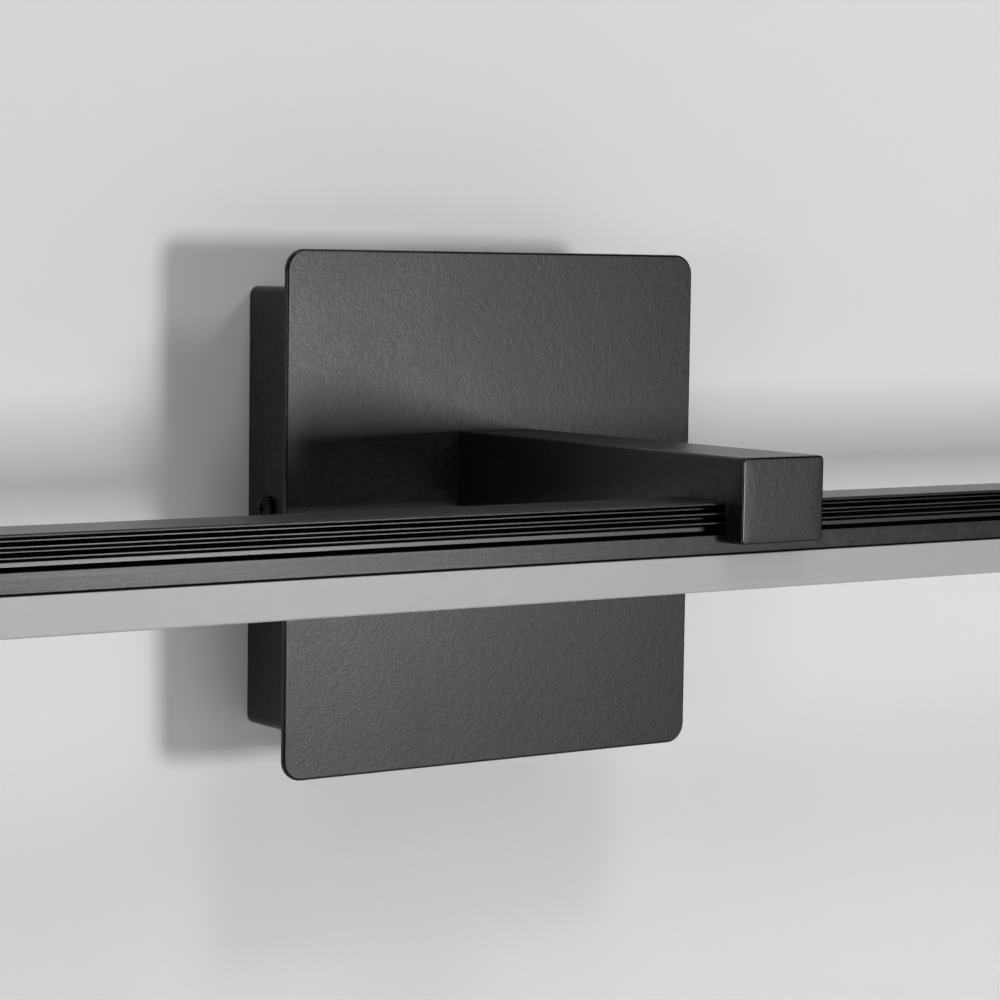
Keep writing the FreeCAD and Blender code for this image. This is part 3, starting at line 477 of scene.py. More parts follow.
# a closed skin through rings of equal length; an uncapped one joins its last ring to its first
def skin(rings, capped=True):
    work = bmesh.new()
    loops = [[work.verts.new(point * mm) for point in ring] for ring in rings]
    if capped:
        work.faces.new(loops[0][::-1])
        work.faces.new(loops[-1])
    else:
        loops.append(loops[0])
    for lower, upper in zip(loops, loops[1:]):
        for index, corner in enumerate(lower):
            after = (index + 1) % len(lower)
            work.faces.new((corner, lower[after], upper[after], upper[index]))
    bmesh.ops.recalc_face_normals(work, faces=work.faces)
    mesh = bpy.data.meshes.new("form")
    work.to_mesh(mesh)
    work.free()
    return mesh


def extruded(outline, plane, start, end):
    return skin([placed(outline, plane(start)), placed(outline, plane(end))])


# a turned shape: radius and height pairs about an axis through the centre
def turned(profile, plane, centre, base, outward, capped=True, steps=40):
    rings = []
    for radius, height in profile:
        rings.append(placed(roundOutline(centre, radius, steps), plane(base + outward * height)))
    return skin(rings, capped)


def joined(meshes):
    work = bmesh.new()
    for mesh in meshes:
        work.from_mesh(mesh)
        bpy.data.meshes.remove(mesh)
    whole = bpy.data.meshes.new("form")
    work.to_mesh(whole)
    work.free()
    return whole


def applied(thing):
    shown = thing.evaluated_get(bpy.context.evaluated_depsgraph_get())
    mesh = bpy.data.meshes.new_from_object(shown)
    thing.modifiers.clear()
    thing.data = mesh


softening = {"bevelAngle": 38, "sharpAngle": 42}


def makePiece(name, mesh, slotName, stands, cutters=(), bevel=0.0, segments=2):
    piece = bpy.data.objects.new(name, mesh)
    bpy.context.scene.collection.objects.link(piece)
    for cutter in cutters:
        tool = bpy.data.objects.new("tool", cutter)
        bpy.context.scene.collection.objects.link(tool)
        cut = piece.modifiers.new("cut", "BOOLEAN")
        cut.operation = "DIFFERENCE"
        cut.solver = "EXACT"
        cut.object = tool
        applied(piece)
        bpy.data.objects.remove(tool)
    if bevel:
        soften = piece.modifiers.new("soften", "BEVEL")
        soften.width = bevel * mm
        soften.segments = segments
        soften.limit_method = "ANGLE"
        soften.angle_limit = math.radians(softening["bevelAngle"])
        applied(piece)
    piece.data.name = name
    piece.data.shade_smooth()
    piece.data.set_sharp_from_angle(angle=math.radians(softening["sharpAngle"]))
    level = piece.modifiers.new("level", "WEIGHTED_NORMAL")
    level.keep_sharp = True
    applied(piece)
    piece.data.materials.clear()
    piece.data.materials.append(materials[finishOfSlot[slotName]])
    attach(piece, "root")
    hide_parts(*stands)
    return piece


# the coat flows smoother round a rim, so the faces that turn away from the front get the glossier finish
def glossRim(piece, face, reach):
    flatEnough = 0.995
    piece.data.materials.append(materials["glossyEdge"])
    for polygon in piece.data.polygons:
        if abs(polygon.normal.y) < flatEnough and polygon.center.y / mm < face + reach:
            polygon.material_index = 1


def cornersOf(node):
    low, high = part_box(node)
    return [value / mm for value in low], [value / mm for value in high]


# the across and up parts of a place
def seenFront(corner):
    return corner[0], corner[2]


plateLow, plateHigh = cornersOf("front_plate")
canopyLow, canopyHigh = cornersOf("canopy_box")
armLow, armHigh = cornersOf("arm_tube")
capLow, capHigh = cornersOf("arm_end_cap")
barLow, barHigh = cornersOf("bar_extrusion")
troughLow, troughHigh = cornersOf("diffuser")
strapLow, strapHigh = cornersOf("wall_bracket")
barMiddle = (barLow[1] + barHigh[1]) / 2


# front plate and canopy

frontPlate = {"corner": 5.0, "rim": 0.65, "rimSteps": 8, "cornerSteps": 14, "backEdge": 0.3}
# the arm's two screws and its wires pass through plate and canopy
armHoles = {"screwAcross": 5.8, "screwUp": 6.8, "screwRadius": 2.2, "wireUp": 14.0, "wireRadius": 3.8,
            "cutFrom": -60, "cutTo": -20}


def boltHoles(radius, spots):
    return [extruded(roundOutline(spot, radius, 32), facingY, armHoles["cutFrom"], armHoles["cutTo"])
            for spot in spots]


def armHoleCutters():
    spots = [(side * armHoles["screwAcross"], armHoles["screwUp"]) for side in (-1, 1)]
    screwHoles = boltHoles(armHoles["screwRadius"], spots)
    return screwHoles + boltHoles(armHoles["wireRadius"], [(0, armHoles["wireUp"])])


def buildFrontPlate():
    rim = frontPlate["rim"]
    back = frontPlate["backEdge"]
    front = plateLow[1]
    turn = quarterRound(frontPlate["rimSteps"])
    stations = [(back, plateHigh[1]), (0.0, plateHigh[1] - back)]
    stations += [(rim * inward, front + rim * down) for inward, down in turn]
    rings = insetRings(seenFront(plateLow), seenFront(plateHigh), frontPlate["corner"], stations, facingY,
                       frontPlate["cornerSteps"])
    plate = makePiece("frontPlate", skin(rings), "black_powder", ["front_plate"], armHoleCutters())
    glossRim(plate, front, rim)


canopy = {"sheet": 1.2, "corner": 2.3, "cornerSteps": 8, "leastCorner": 0.4, "innerCorner": 0.6, "lip": 0.25,
          "frontEdge": 0.5, "frontEdgeMiddle": 0.15, "studAcross": 43.0, "studUp": 46.0, "studHole": 2.2,
          "sideHoleRadius": 2.3}
sideScrewPlace = (-9.9, 0.0)  # depth and height of the screw in each side
studSpots = [(x, z) for x in (-canopy["studAcross"], canopy["studAcross"])
             for z in (-canopy["studUp"], canopy["studUp"])]


def buildCanopy():
    sheet = canopy["sheet"]
    front = canopyLow[1]
    lip = canopy["lip"]
    inner = canopy["innerCorner"]
    edge = canopy["frontEdge"]
    middle = canopy["frontEdgeMiddle"]
    stations = [(sheet + inner, front + sheet), (sheet, front + sheet + inner), (sheet, -lip),
                (sheet - lip, 0.0), (lip, 0.0), (0.0, -lip), (0.0, front + edge),
                (middle, front + middle), (edge, front)]
    rings = insetRings(seenFront(canopyLow), seenFront(canopyHigh), canopy["corner"], stations, facingY,
                       canopy["cornerSteps"], canopy["leastCorner"])
    sideHole = roundOutline(sideScrewPlace, canopy["sideHoleRadius"], 32)
    cutters = [extruded(sideHole, facingX, canopyLow[0] - 9, canopyHigh[0] + 9)]
    cutters += boltHoles(canopy["studHole"], studSpots) + armHoleCutters()
    makePiece("canopyBox", skin(rings), "black_powder", ["canopy_box"], cutters)


buildFrontPlate()
buildCanopy()
print("plate and canopy built")


# arm

arm = {"wall": 1.5, "corner": 0.9, "cornerSteps": 6, "innerCorner": 0.4, "edge": 0.2, "gap": 0.1,
       "mouth": 1.6, "mouthSteps": 8}


def buildArmTube():
    low = seenFront(armLow)
    high = seenFront(armHigh)
    outerPlaces = [(0.0, armHigh[1]), (0.0, armLow[1])]
    innerPlaces = [(arm["wall"], armLow[1]), (arm["wall"], armHigh[1])]
    corner = arm["corner"]
    steps = arm["cornerSteps"]
    rings = insetRings(low, high, corner, outerPlaces, facingY, steps)
    rings += insetRings(low, high, corner, innerPlaces, facingY, steps, arm["innerCorner"])
    front = barLow[1] - arm["gap"]
    back = barHigh[1] + arm["gap"]
    floor = armLow[2]
    mouth = arm["mouth"]
    lips = quarterRound(arm["mouthSteps"])
    notch = [(back, barHigh[2]), (front, barHigh[2])]
    notch += [(front - mouth * inward, floor + mouth * down) for inward, down in lips]
    notch += [(front - mouth, floor - mouth), (back + mouth, floor - mouth)]
    notch += [(back + mouth * inward, floor + mouth * down) for inward, down in reversed(lips)]
    cutter = extruded(notch, facingX, armLow[0] - 5, armHigh[0] + 5)
    makePiece("armTube", skin(rings, capped=False), "black_powder", ["arm_tube"], [cutter], arm["edge"], 3)


armCap = {"corner": 1.1, "rim": 0.45, "rimSteps": 6, "pillow": 0.06, "flat": 8, "rings": 10, "seam": 0.2,
          "plug": 1.6, "plugEdge": 0.3, "plugLead": 0.4, "leastCorner": 0.4}


# rings that run over a rounded rim and a slightly pillowed face; inward is +1 or -1 along the plane's axis
def pillowRings(low, high, face, inward, plane, shape):
    rim = shape["rim"]
    rise = shape["pillow"]
    crowding = 1.6  # more rings near the rim, where the pillow bends most
    turn = quarterRound(shape["rimSteps"])
    stations = [(rim * inset, face + inward * (rise + rim * down)) for inset, down in turn]
    rings = insetRings(low, high, shape["corner"], stations, plane, 8)
    outline = roundedOutline((low[0] + rim, low[1] + rim), (high[0] - rim, high[1] - rim),
                             shape["corner"] - rim, 8)
    middle = ((low[0] + high[0]) / 2, (low[1] + high[1]) / 2)
    for number in range(1, shape["rings"]):
        reach = 1 - (number / shape["rings"]) ** crowding
        scaled = [(middle[0] + (across - middle[0]) * reach, middle[1] + (up - middle[1]) * reach)
                  for across, up in outline]
        rings.append(placed(scaled, plane(face + inward * rise * reach ** shape["flat"])))
    return rings


def buildArmCap():
    low = seenFront(capLow)
    high = seenFront(capHigh)
    joint = armLow[1]
    plug = armCap["plug"]
    seam = armCap["seam"]
    stations = [(plug + armCap["plugEdge"], capHigh[1]), (plug, capHigh[1] - armCap["plugLead"]),
                (plug, joint), (seam, joint), (0.0, joint - seam)]
    rings = insetRings(low, high, armCap["corner"], stations, facingY, 8, armCap["leastCorner"])
    rings += pillowRings(low, high, capLow[1], 1, facingY, armCap)
    cap = makePiece("armEndCap", skin(rings), "black_powder", ["arm_end_cap"])
    glossRim(cap, capLow[1], armCap["rim"] + armCap["pillow"])


buildArmTube()
buildArmCap()
print("arm built")


# bar: the black extrusion, the frosted trough under it and the end caps

bar = {"ridges": 3, "pitch": 2.03, "flange": 0.59, "tip": 0.35, "drop": 0.78, "floor": 0.36,
       "lastFloor": 0.96, "groove": 2.8, "stripTop": 2.41, "topRound": 0.45, "tipRound": 0.1,
       "grooveRound": 0.1, "stripRound": 0.2, "lip": 0.6, "lipDrop": 0.33, "channelHalf": 6.6,
       "channelTop": 1.5, "channelFootRound": 0.1, "channelTopRound": 0.2, "chamberHalf": 3.8,
       "chamberFloor": 2.8, "chamberRoof": 8.15, "chamberCorner": 0.3, "wireHole": 3.75, "screwHole": 1.8,
       "screwAcross": 7.0, "accessHole": 3.2, "windowAcross": 3.3, "windowDeep": 2.8, "overcut": 0.5,
       "cutFoot": -5, "cutTop": 20}


def ridgedSide(side):
    outer = barMiddle + side * (barHigh[1] - barMiddle)
    inner = outer - side * bar["groove"]
    top = barHigh[2]
    corners = [(outer, top, bar["topRound"])]
    for number in range(bar["ridges"]):
        edge = top - bar["flange"] - number * bar["pitch"]
        last = number == bar["ridges"] - 1
        depth = bar["lastFloor"] if last else bar["floor"]
        foot = bar["stripTop"] if last else edge - bar["pitch"] + bar["tip"]
        corners += [(outer, edge, bar["tipRound"]), (inner, edge - bar["drop"], bar["grooveRound"]),
                    (inner, edge - bar["drop"] - depth, bar["grooveRound"]), (outer, foot, bar["tipRound"])]
    lip = outer - side * bar["lip"]
    corners += [(outer, barLow[2], bar["stripRound"]), (lip, barLow[2], 0.0),
                (lip, barLow[2] - bar["lipDrop"], 0.0)]
    return corners


def buildBar():
    half = bar["channelHalf"]
    foot = (barLow[2] - bar["lipDrop"], bar["channelFootRound"])
    top = (bar["channelTop"], bar["channelTopRound"])
    channel = [(barMiddle + half, *foot), (barMiddle + half, *top), (barMiddle - half, *top),
               (barMiddle - half, *foot)]
    corners = ridgedSide(1) + channel + ridgedSide(-1)[::-1]
    body = extruded(softOutline(corners, 3), facingX, barLow[0], barHigh[0])
    floor = bar["chamberFloor"]
    roof = bar["chamberRoof"]
    hollow = roundedOutline((barMiddle - bar["chamberHalf"], floor), (barMiddle + bar["chamberHalf"], roof),
                            bar["chamberCorner"], 4)
    aboveChamber = (roof - bar["overcut"], bar["cutTop"])
    belowChamber = (bar["cutFoot"], floor + bar["overcut"])
    cutters = [extruded(hollow, facingX, barLow[0] - 5, barHigh[0] + 5),
               extruded(roundOutline((0, barMiddle), bar["wireHole"]), facingZ, *aboveChamber)]
    for across in (-bar["screwAcross"], bar["screwAcross"]):
        spot = (across, barMiddle)
        cutters.append(extruded(roundOutline(spot, bar["screwHole"], 24), facingZ, *aboveChamber))
        cutters.append(extruded(roundOutline(spot, bar["accessHole"], 32), facingZ, *belowChamber))
    wide = bar["windowAcross"]
    deep = bar["windowDeep"]
    window = roundedOutline((-wide, barMiddle - deep), (wide, barMiddle + deep), bar["chamberCorner"], 4)
    cutters.append(extruded(window, facingZ, *belowChamber))
    piece = makePiece("barExtrusion", body, "black_anodised", ["bar_extrusion"], cutters)
    finishRidges(piece)


# burnished on tips and groove floors; the slopes between them and the gap over the trough get a painted
# shade, darker and duller than the bar
def finishRidges(piece):
    piece.data.materials.append(materials["burnishedRidge"])
    piece.data.materials.append(materials["paintedShadeGroove"])
    half = barHigh[1] - barMiddle
    slack = 0.1
    steep = 0.9
    tipDepth = 0.3
    for face in piece.data.polygons:
        depth = half - abs(face.center.y / mm - barMiddle)
        height = face.center.z / mm
        between = bar["stripTop"] + slack / 2 < height < barHigh[2] - bar["flange"] - slack
        ridged = between and depth < bar["groove"] + slack
        inGap = height < barLow[2] + slack / 5 and depth < bar["lip"] + slack
        if ridged and abs(face.normal.y) > steep:
            face.material_index = 1
        # these faces get the painted shade of the grooves and the gap
        elif inGap or (ridged and depth > tipDepth):
            face.material_index = 2


trough = {"wall": 1.4, "legOuter": 6.4, "legInner": 5.2, "shoulder": -1.99, "topRound": 0.15,
          "bottomRound": 0.4, "legRound": 0.3, "innerTopRound": 0.4, "innerFloorRound": 0.6}


def troughSide(side):
    def at(offset):
        return barMiddle + side * offset
    outer = troughHigh[1] - barMiddle
    wall = trough["wall"]
    shoulder = trough["shoulder"]
    floor = troughLow[2]
    leg = trough["legRound"]
    return [(at(outer), floor, trough["bottomRound"]), (at(outer), shoulder, trough["topRound"]),
            (at(trough["legOuter"]), shoulder, trough["topRound"]),
            (at(trough["legOuter"]), troughHigh[2], leg), (at(trough["legInner"]), troughHigh[2], leg),
            (at(trough["legInner"]), shoulder - wall, leg),
            (at(outer - wall), shoulder - wall, trough["innerTopRound"]),
            (at(outer - wall), floor + wall, trough["innerFloorRound"])]


def buildTrough():
    corners = troughSide(1) + troughSide(-1)[::-1]
    mesh = extruded(softOutline(corners, 5), facingX, troughLow[0], troughHigh[0])
    makePiece("frostedTrough", mesh, "frosted_acrylic", ["diffuser"])


endCap = {"corner": 1.1, "rim": 0.5, "rimSteps": 5, "pillow": 0.1, "flat": 8, "rings": 8, "seam": 0.15,
          "pegInset": 0.35, "peg": 6.0, "pegCorner": 0.5}


def buildEndCap(name, node):
    lowCorner, highCorner = cornersOf(node)
    leftward = lowCorner[0] < 0
    face = lowCorner[0] if leftward else highCorner[0]
    joint = barLow[0] if leftward else barHigh[0]
    inward = 1 if leftward else -1
    low = (barLow[1], troughLow[2])
    high = (barHigh[1], barHigh[2])
    gap = endCap["pegInset"]
    seam = endCap["seam"]
    peg = roundedOutline((barMiddle - bar["chamberHalf"] + gap, bar["chamberFloor"] + gap),
                         (barMiddle + bar["chamberHalf"] - gap, bar["chamberRoof"] - gap),
                         endCap["pegCorner"], 8)
    rings = [placed(peg, facingX(joint + inward * endCap["peg"])), placed(peg, facingX(joint))]
    stations = [(seam, joint), (0.0, joint - inward * seam)]
    rings += insetRings(low, high, endCap["corner"], stations, facingX, 8)
    rings += pillowRings(low, high, face, inward, facingX, endCap)
    makePiece(name, skin(rings), "black_plastic", [node])


buildBar()
buildTrough()
buildEndCap("endCapLeft", "end_cap_left")
buildEndCap("endCapRight", "end_cap_right")
print("bar built")


# fasteners

thread = {"pitch": 0.7, "depth": 0.3, "runOut": 0.3, "tip": 0.5}


def threadProfile(radius, start, end):
    step = thread["pitch"] / 2
    profile = []
    for number in range(int((start - end) / step)):
        crest = number % 2 == 0
        profile.append((radius if crest else radius - thread["depth"], start - number * step))
    profile.append((radius - thread["tip"], end))
    return profile


# crown and side are parts of the head's height; a fullness below 1 makes the head fuller
panHead = {"crown": 0.65, "fullness": 0.7, "side": 0.2, "underEdge": 0.15, "steps": 9}


# a pan head with a rounded edge, then the shank; heights are from the seat outward
def panProfile(headRadius, headHeight, shankRadius, length):
    crown = panHead["crown"]
    profile = []
    for step in range(1, panHead["steps"] + 1):
        angle = math.radians(90) * step / panHead["steps"]
        profile.append((headRadius * math.sin(angle) ** panHead["fullness"],
                        headHeight * (1 - crown + crown * math.cos(angle))))
    profile.append((headRadius, headHeight * panHead["side"]))
    profile.append((headRadius - panHead["underEdge"], 0.0))
    profile.append((shankRadius, 0.0))
    return profile + threadProfile(shankRadius, -thread["runOut"], -length)


# a cross recess narrows toward its floor: parts of the head's height, with how wide it is there
recess = {"floor": (0.35, 0.6), "mouth": (1.3, 1.15)}


def crossCutters(plane, centre, base, outward, headHeight, reach, width):
    cutters = []
    for half in ((reach, width / 2), (width / 2, reach)):
        rings = []
        for rise, grow in (recess["floor"], recess["mouth"]):
            height = headHeight * rise
            outline = roundedOutline((centre[0] - half[0] * grow, centre[1] - half[1] * grow),
                                     (centre[0] + half[0] * grow, centre[1] + half[1] * grow),
                                     width * 0.2, 3)
            rings.append(placed(outline, plane(base + outward * height)))
        cutters.append(skin(rings))
    return cutters


sideScrew = {"radius": 2.0, "head": 3.1, "height": 2.2, "length": 8.0, "recess": 1.6, "blade": 0.7}


def buildSideScrews():
    for name, outward in (("sideScrewLeft", -1), ("sideScrewRight", 1)):
        base = canopyHigh[0] * outward
        profile = panProfile(sideScrew["head"], sideScrew["height"], sideScrew["radius"],
                             sideScrew["length"])
        mesh = turned(profile, facingX, sideScrewPlace, base, outward)
        cutters = crossCutters(facingX, sideScrewPlace, base, outward, sideScrew["height"],
                               sideScrew["recess"], sideScrew["blade"])
        makePiece(name, mesh, "black_screw", ["side_screws"], cutters)


# each stud stands on the back of the plate, and its nut has a flange against the canopy
stud = {"radius": 2.0, "length": 8.0, "plain": 1.2, "threadStart": 1.4, "threadEnd": 7.4, "step": 0.35,
        "depth": 0.28, "point": 0.5, "nut": 3.9, "flange": 4.4, "flangeHeight": 0.5, "skirt": 0.95,
        "height": 3.2, "topEdge": 0.4, "bore": 2.05, "boreEdge": 0.3}


def hexOutline(centre, apothem, steps=48):
    points = []
    for step in range(steps):
        angle = math.tau * step / steps
        bend = (angle + math.radians(30)) % math.radians(60) - math.radians(30)
        radius = apothem / math.cos(bend)
        points.append((centre[0] + radius * math.cos(angle), centre[1] + radius * math.sin(angle)))
    return points


def nutMesh(centre, base):
    apothem = stud["nut"] * math.cos(math.radians(30))
    height = stud["height"]
    flange = roundOutline(centre, stud["flange"], 48)
    sides = hexOutline(centre, apothem)
    bore = roundOutline(centre, stud["bore"], 48)
    outlines = [(bore, 0.0), (flange, 0.0), (flange, stud["flangeHeight"]), (sides, stud["skirt"]),
                (sides, height - stud["topEdge"]), (roundOutline(centre, apothem, 48), height),
                (roundOutline(centre, stud["bore"] + stud["boreEdge"], 48), height),
                (bore, height - stud["boreEdge"])]
    return skin([placed(outline, facingY(base + rise)) for outline, rise in outlines], capped=False)


def buildStuds():
    radius = stud["radius"]
    length = stud["length"]
    start = stud["threadStart"]
    step = stud["step"]
    profile = [(radius, 0.0), (radius, stud["plain"])]
    for number in range(math.ceil((stud["threadEnd"] - start) / step)):
        crest = number % 2 == 1
        profile.append((radius if crest else radius - stud["depth"], start + number * step))
    profile += [(radius - 0.1, length - stud["point"]), (radius - stud["point"], length)]
    meshes = [turned(profile, facingY, spot, plateHigh[1], 1) for spot in studSpots]
    makePiece("plateStuds", joined(meshes), "zinc_steel", ["plate_studs"])
    seat = canopyLow[1] + canopy["sheet"]
    makePiece("studNuts", joined([nutMesh(spot, seat) for spot in studSpots]), "zinc_steel", ["stud_nuts"],
              bevel=0.1)


armScrew = {"radius": 2.0, "head": 3.6, "height": 2.6, "length": 12.0, "recess": 1.8, "blade": 0.8}
lockWasher = {"radius": 3.6, "bore": 2.15, "height": 0.8, "split": 0.5, "slant": 0.8, "splitFrom": 1,
              "splitTo": 5, "edge": 0.12}


def washerProfile(bore, radius, height):
    return [(bore, 0.0), (radius, 0.0), (radius, height), (bore, height)]


def buildArmScrews():
    across = armHoles["screwAcross"]
    up = armHoles["screwUp"]
    seat = canopyLow[1] + canopy["sheet"]
    base = seat + lockWasher["height"]
    washers = []
    gaps = []
    for name, side in (("armScrewLeft", -1), ("armScrewRight", 1)):
        spot = (across * side, up)
        mesh = turned(panProfile(armScrew["head"], armScrew["height"], armScrew["radius"],
                                 armScrew["length"]), facingY, spot, base, 1)
        cutters = crossCutters(facingY, spot, base, 1, armScrew["height"], armScrew["recess"],
                               armScrew["blade"])
        makePiece(name, mesh, "zinc_steel", ["arm_screws"], cutters)
        profile = washerProfile(lockWasher["bore"], lockWasher["radius"], lockWasher["height"])
        washers.append(turned(profile, facingY, spot, seat, 1, capped=False))
        left = spot[0] - lockWasher["split"] / 2
        right = spot[0] + lockWasher["split"] / 2
        inner = up + lockWasher["splitFrom"]
        outer = up + lockWasher["splitTo"]
        slant = lockWasher["slant"]
        gaps.append(extruded([(left, inner), (right, inner), (right + slant, outer), (left + slant, outer)],
                             facingY, seat - 1, seat + 2))
    makePiece("armLockWashers", joined(washers), "zinc_steel", ["arm_lock_washers"], gaps,
              lockWasher["edge"])


buildSideScrews()
buildStuds()
buildArmScrews()
print("fasteners built")


# wall strap and ground

strap = {"bend": 3.0, "innerBend": 1.6, "sheet": 2.0, "slotAcross": 37.4, "slotLength": 16.0,
         "slotRadius": 2.4, "centreHole": 10.0, "groundHole": 1.9, "earHole": 2.1, "edge": 0.25,
         "cutFrom": -8, "cutTo": 8}
groundPlace = (19.0, 2.0)


def buildStrap():
    half = strapHigh[0]
    sheet = strap["sheet"]
    back = strapHigh[1]
    tip = strapLow[1]
    bend = strap["bend"]
    inner = strap["innerBend"]
    corners = [(-half, tip, 0), (-half, back, bend), (half, back, bend), (half, tip, 0),
               (half - sheet, tip, 0), (half - sheet, back - sheet, inner),
               (-half + sheet, back - sheet, inner), (-half + sheet, tip, 0)]
    body = extruded(softOutline(corners, 8), facingZ, strapLow[2], strapHigh[2])
    reach = strap["slotLength"] / 2
    radius = strap["slotRadius"]
    holes = [roundOutline((0, 0), strap["centreHole"], 64)]
    for side in (-1, 1):
        middle = side * strap["slotAcross"]
        holes.append(roundedOutline((middle - reach, -radius), (middle + reach, radius), radius * 0.999, 12))
    holes.append(roundOutline(groundPlace, strap["groundHole"], 32))
    cutters = [extruded(hole, facingY, strap["cutFrom"], strap["cutTo"]) for hole in holes]
    earHole = roundOutline(sideScrewPlace, strap["earHole"], 32)
    cutters.append(extruded(earHole, facingX, -half - 30, half + 30))
    makePiece("wallStrap", body, "zinc_steel", ["wall_bracket"], cutters, strap["edge"])


groundScrew = {"head": 3.2, "height": 1.8, "radius": 1.75, "length": 2.4, "recess": 1.6, "blade": 0.7}
groundRing = {"radius": 4.0, "bore": 1.95, "sheet": 0.8, "tongueHalf": 1.5, "tongueFrom": 3.2,
              "tongueTo": 6.0, "tongueCorner": 0.3, "edge": 0.08}
# the crimped barrel that holds the lead; its dent is given from the barrel's own start
barrel = {"radius": 1.8, "bore": 1.25, "start": 4.0, "length": 7.0, "offStrap": 1.9, "mouth": 0.2,
          "mouthRise": 0.3, "dent": 0.35, "dentStations": (2.4, 3.0, 4.0, 4.6)}


def buildGround():
    across, up = groundPlace
    face = strapHigh[1] - strap["sheet"]
    base = face - groundRing["sheet"]
    profile = panProfile(groundScrew["head"], groundScrew["height"], groundScrew["radius"],
                         groundScrew["length"])
    mesh = turned(profile, facingY, groundPlace, base, -1)
    cutters = crossCutters(facingY, groundPlace, base, -1, groundScrew["height"], groundScrew["recess"],
                           groundScrew["blade"])
    makePiece("groundScrew", mesh, "green_screw", ["ground_screw"], cutters)
    profile = washerProfile(groundRing["bore"], groundRing["radius"], groundRing["sheet"])
    ring = turned(profile, facingY, groundPlace, face, -1, capped=False)
    half = groundRing["tongueHalf"]
    outline = roundedOutline((across - half, up + groundRing["tongueFrom"]),
                             (across + half, up + groundRing["tongueTo"]), groundRing["tongueCorner"], 4)
    tongue = extruded(outline, facingY, face, base)
    start = up + barrel["start"]
    end = start + barrel["length"]
    radius = barrel["radius"]
    mouth = radius - barrel["mouth"]
    dent = radius - barrel["dent"]
    falls, bottoms, climbs, ends = [start + rise for rise in barrel["dentStations"]]
    profile = [(barrel["bore"], start), (mouth, start), (radius, start + barrel["mouthRise"]),
               (radius, falls), (dent, bottoms), (dent, climbs), (radius, ends),
               (radius, end - barrel["mouthRise"]), (mouth, end), (barrel["bore"], end)]
    sleeve = turned(profile, facingZ, (across, face - barrel["offStrap"]), 0, 1, capped=False)
    makePiece("groundRing", joined([ring, tongue, sleeve]), "tinned_copper", ["ground_ring"],
              bevel=groundRing["edge"])


buildStrap()
buildGround()
print("strap and ground built")


# driver, terminal block and bush

driver = {"corner": 1.6, "wall": 1.5, "edge": 0.5, "mouthEdge": 0.25, "lidEdge": 0.2, "ribs": 9,
          "ribWidth": 1.4, "ribDepth": 0.35, "ribSpan": 0.42, "ribMargin": 6}


# a case's rounded edge, from its side to its face; inward is +1 or -1 along the depth
def roundedEdge(face, edge, inward):
    middle = edge * 0.3
    return [(0.0, face + inward * edge), (middle, face + inward * middle), (edge, face)]


def caseMesh(low, high, stations, corner):
    return skin(insetRings(seenFront(low), seenFront(high), corner, stations, facingY, 6))


def buildDriver():
    low, high = cornersOf("driver_case")
    wall = driver["wall"]
    mouth = driver["mouthEdge"]
    stations = [(wall, low[1] + wall), (wall, high[1]), (mouth, high[1]), (0.0, high[1] - mouth)]
    stations += roundedEdge(low[1], driver["edge"], 1)
    makePiece("driverCase", caseMesh(low, high, stations, driver["corner"]), "white_nylon", ["driver_case"])
    low, high = cornersOf("driver_lid")
    lip = driver["lidEdge"]
    stations = [(lip, low[1]), (0.0, low[1] + lip)] + roundedEdge(high[1], driver["edge"], -1)
    half = driver["ribWidth"] / 2
    margin = driver["ribMargin"]
    span = (high[0] - low[0]) * driver["ribSpan"]
    middle = (high[0] + low[0]) / 2
    cutters = []
    for number in range(driver["ribs"]):
        centre = middle + span * (number / (driver["ribs"] - 1) - 0.5)
        outline = roundedOutline((centre - half, low[2] + margin), (centre + half, high[2] - margin),
                                 half * 0.98, 5)
        cutters.append(extruded(outline, facingY, high[1] - driver["ribDepth"], high[1] + 3))
    makePiece("driverLid", caseMesh(low, high, stations, driver["corner"]), "white_nylon", ["driver_lid"],
              cutters)


terminal = {"poles": 3, "first": 5.0, "pitch": 8.0, "rows": (4.0, 12.0), "corner": 1.0, "edge": 0.4,
            "well": 2.4, "wellDepth": 4.0, "wellEdge": 0.5, "screw": 2.0, "screwHeight": 2.2,
            "slotHalf": 0.3, "slotReach": 2.5, "slotFloor": 1.4, "groove": 0.9, "grooveDepth": 1.2}


def wellCutter(spot, floor, face):
    well = terminal["well"]
    wide = well + terminal["wellEdge"]
    rings = [(well, floor), (well, face - 0.4), (wide, face + 0.1), (wide, face + 2)]
    return skin([placed(roundOutline(spot, radius, 32), facingY(y)) for radius, y in rings])


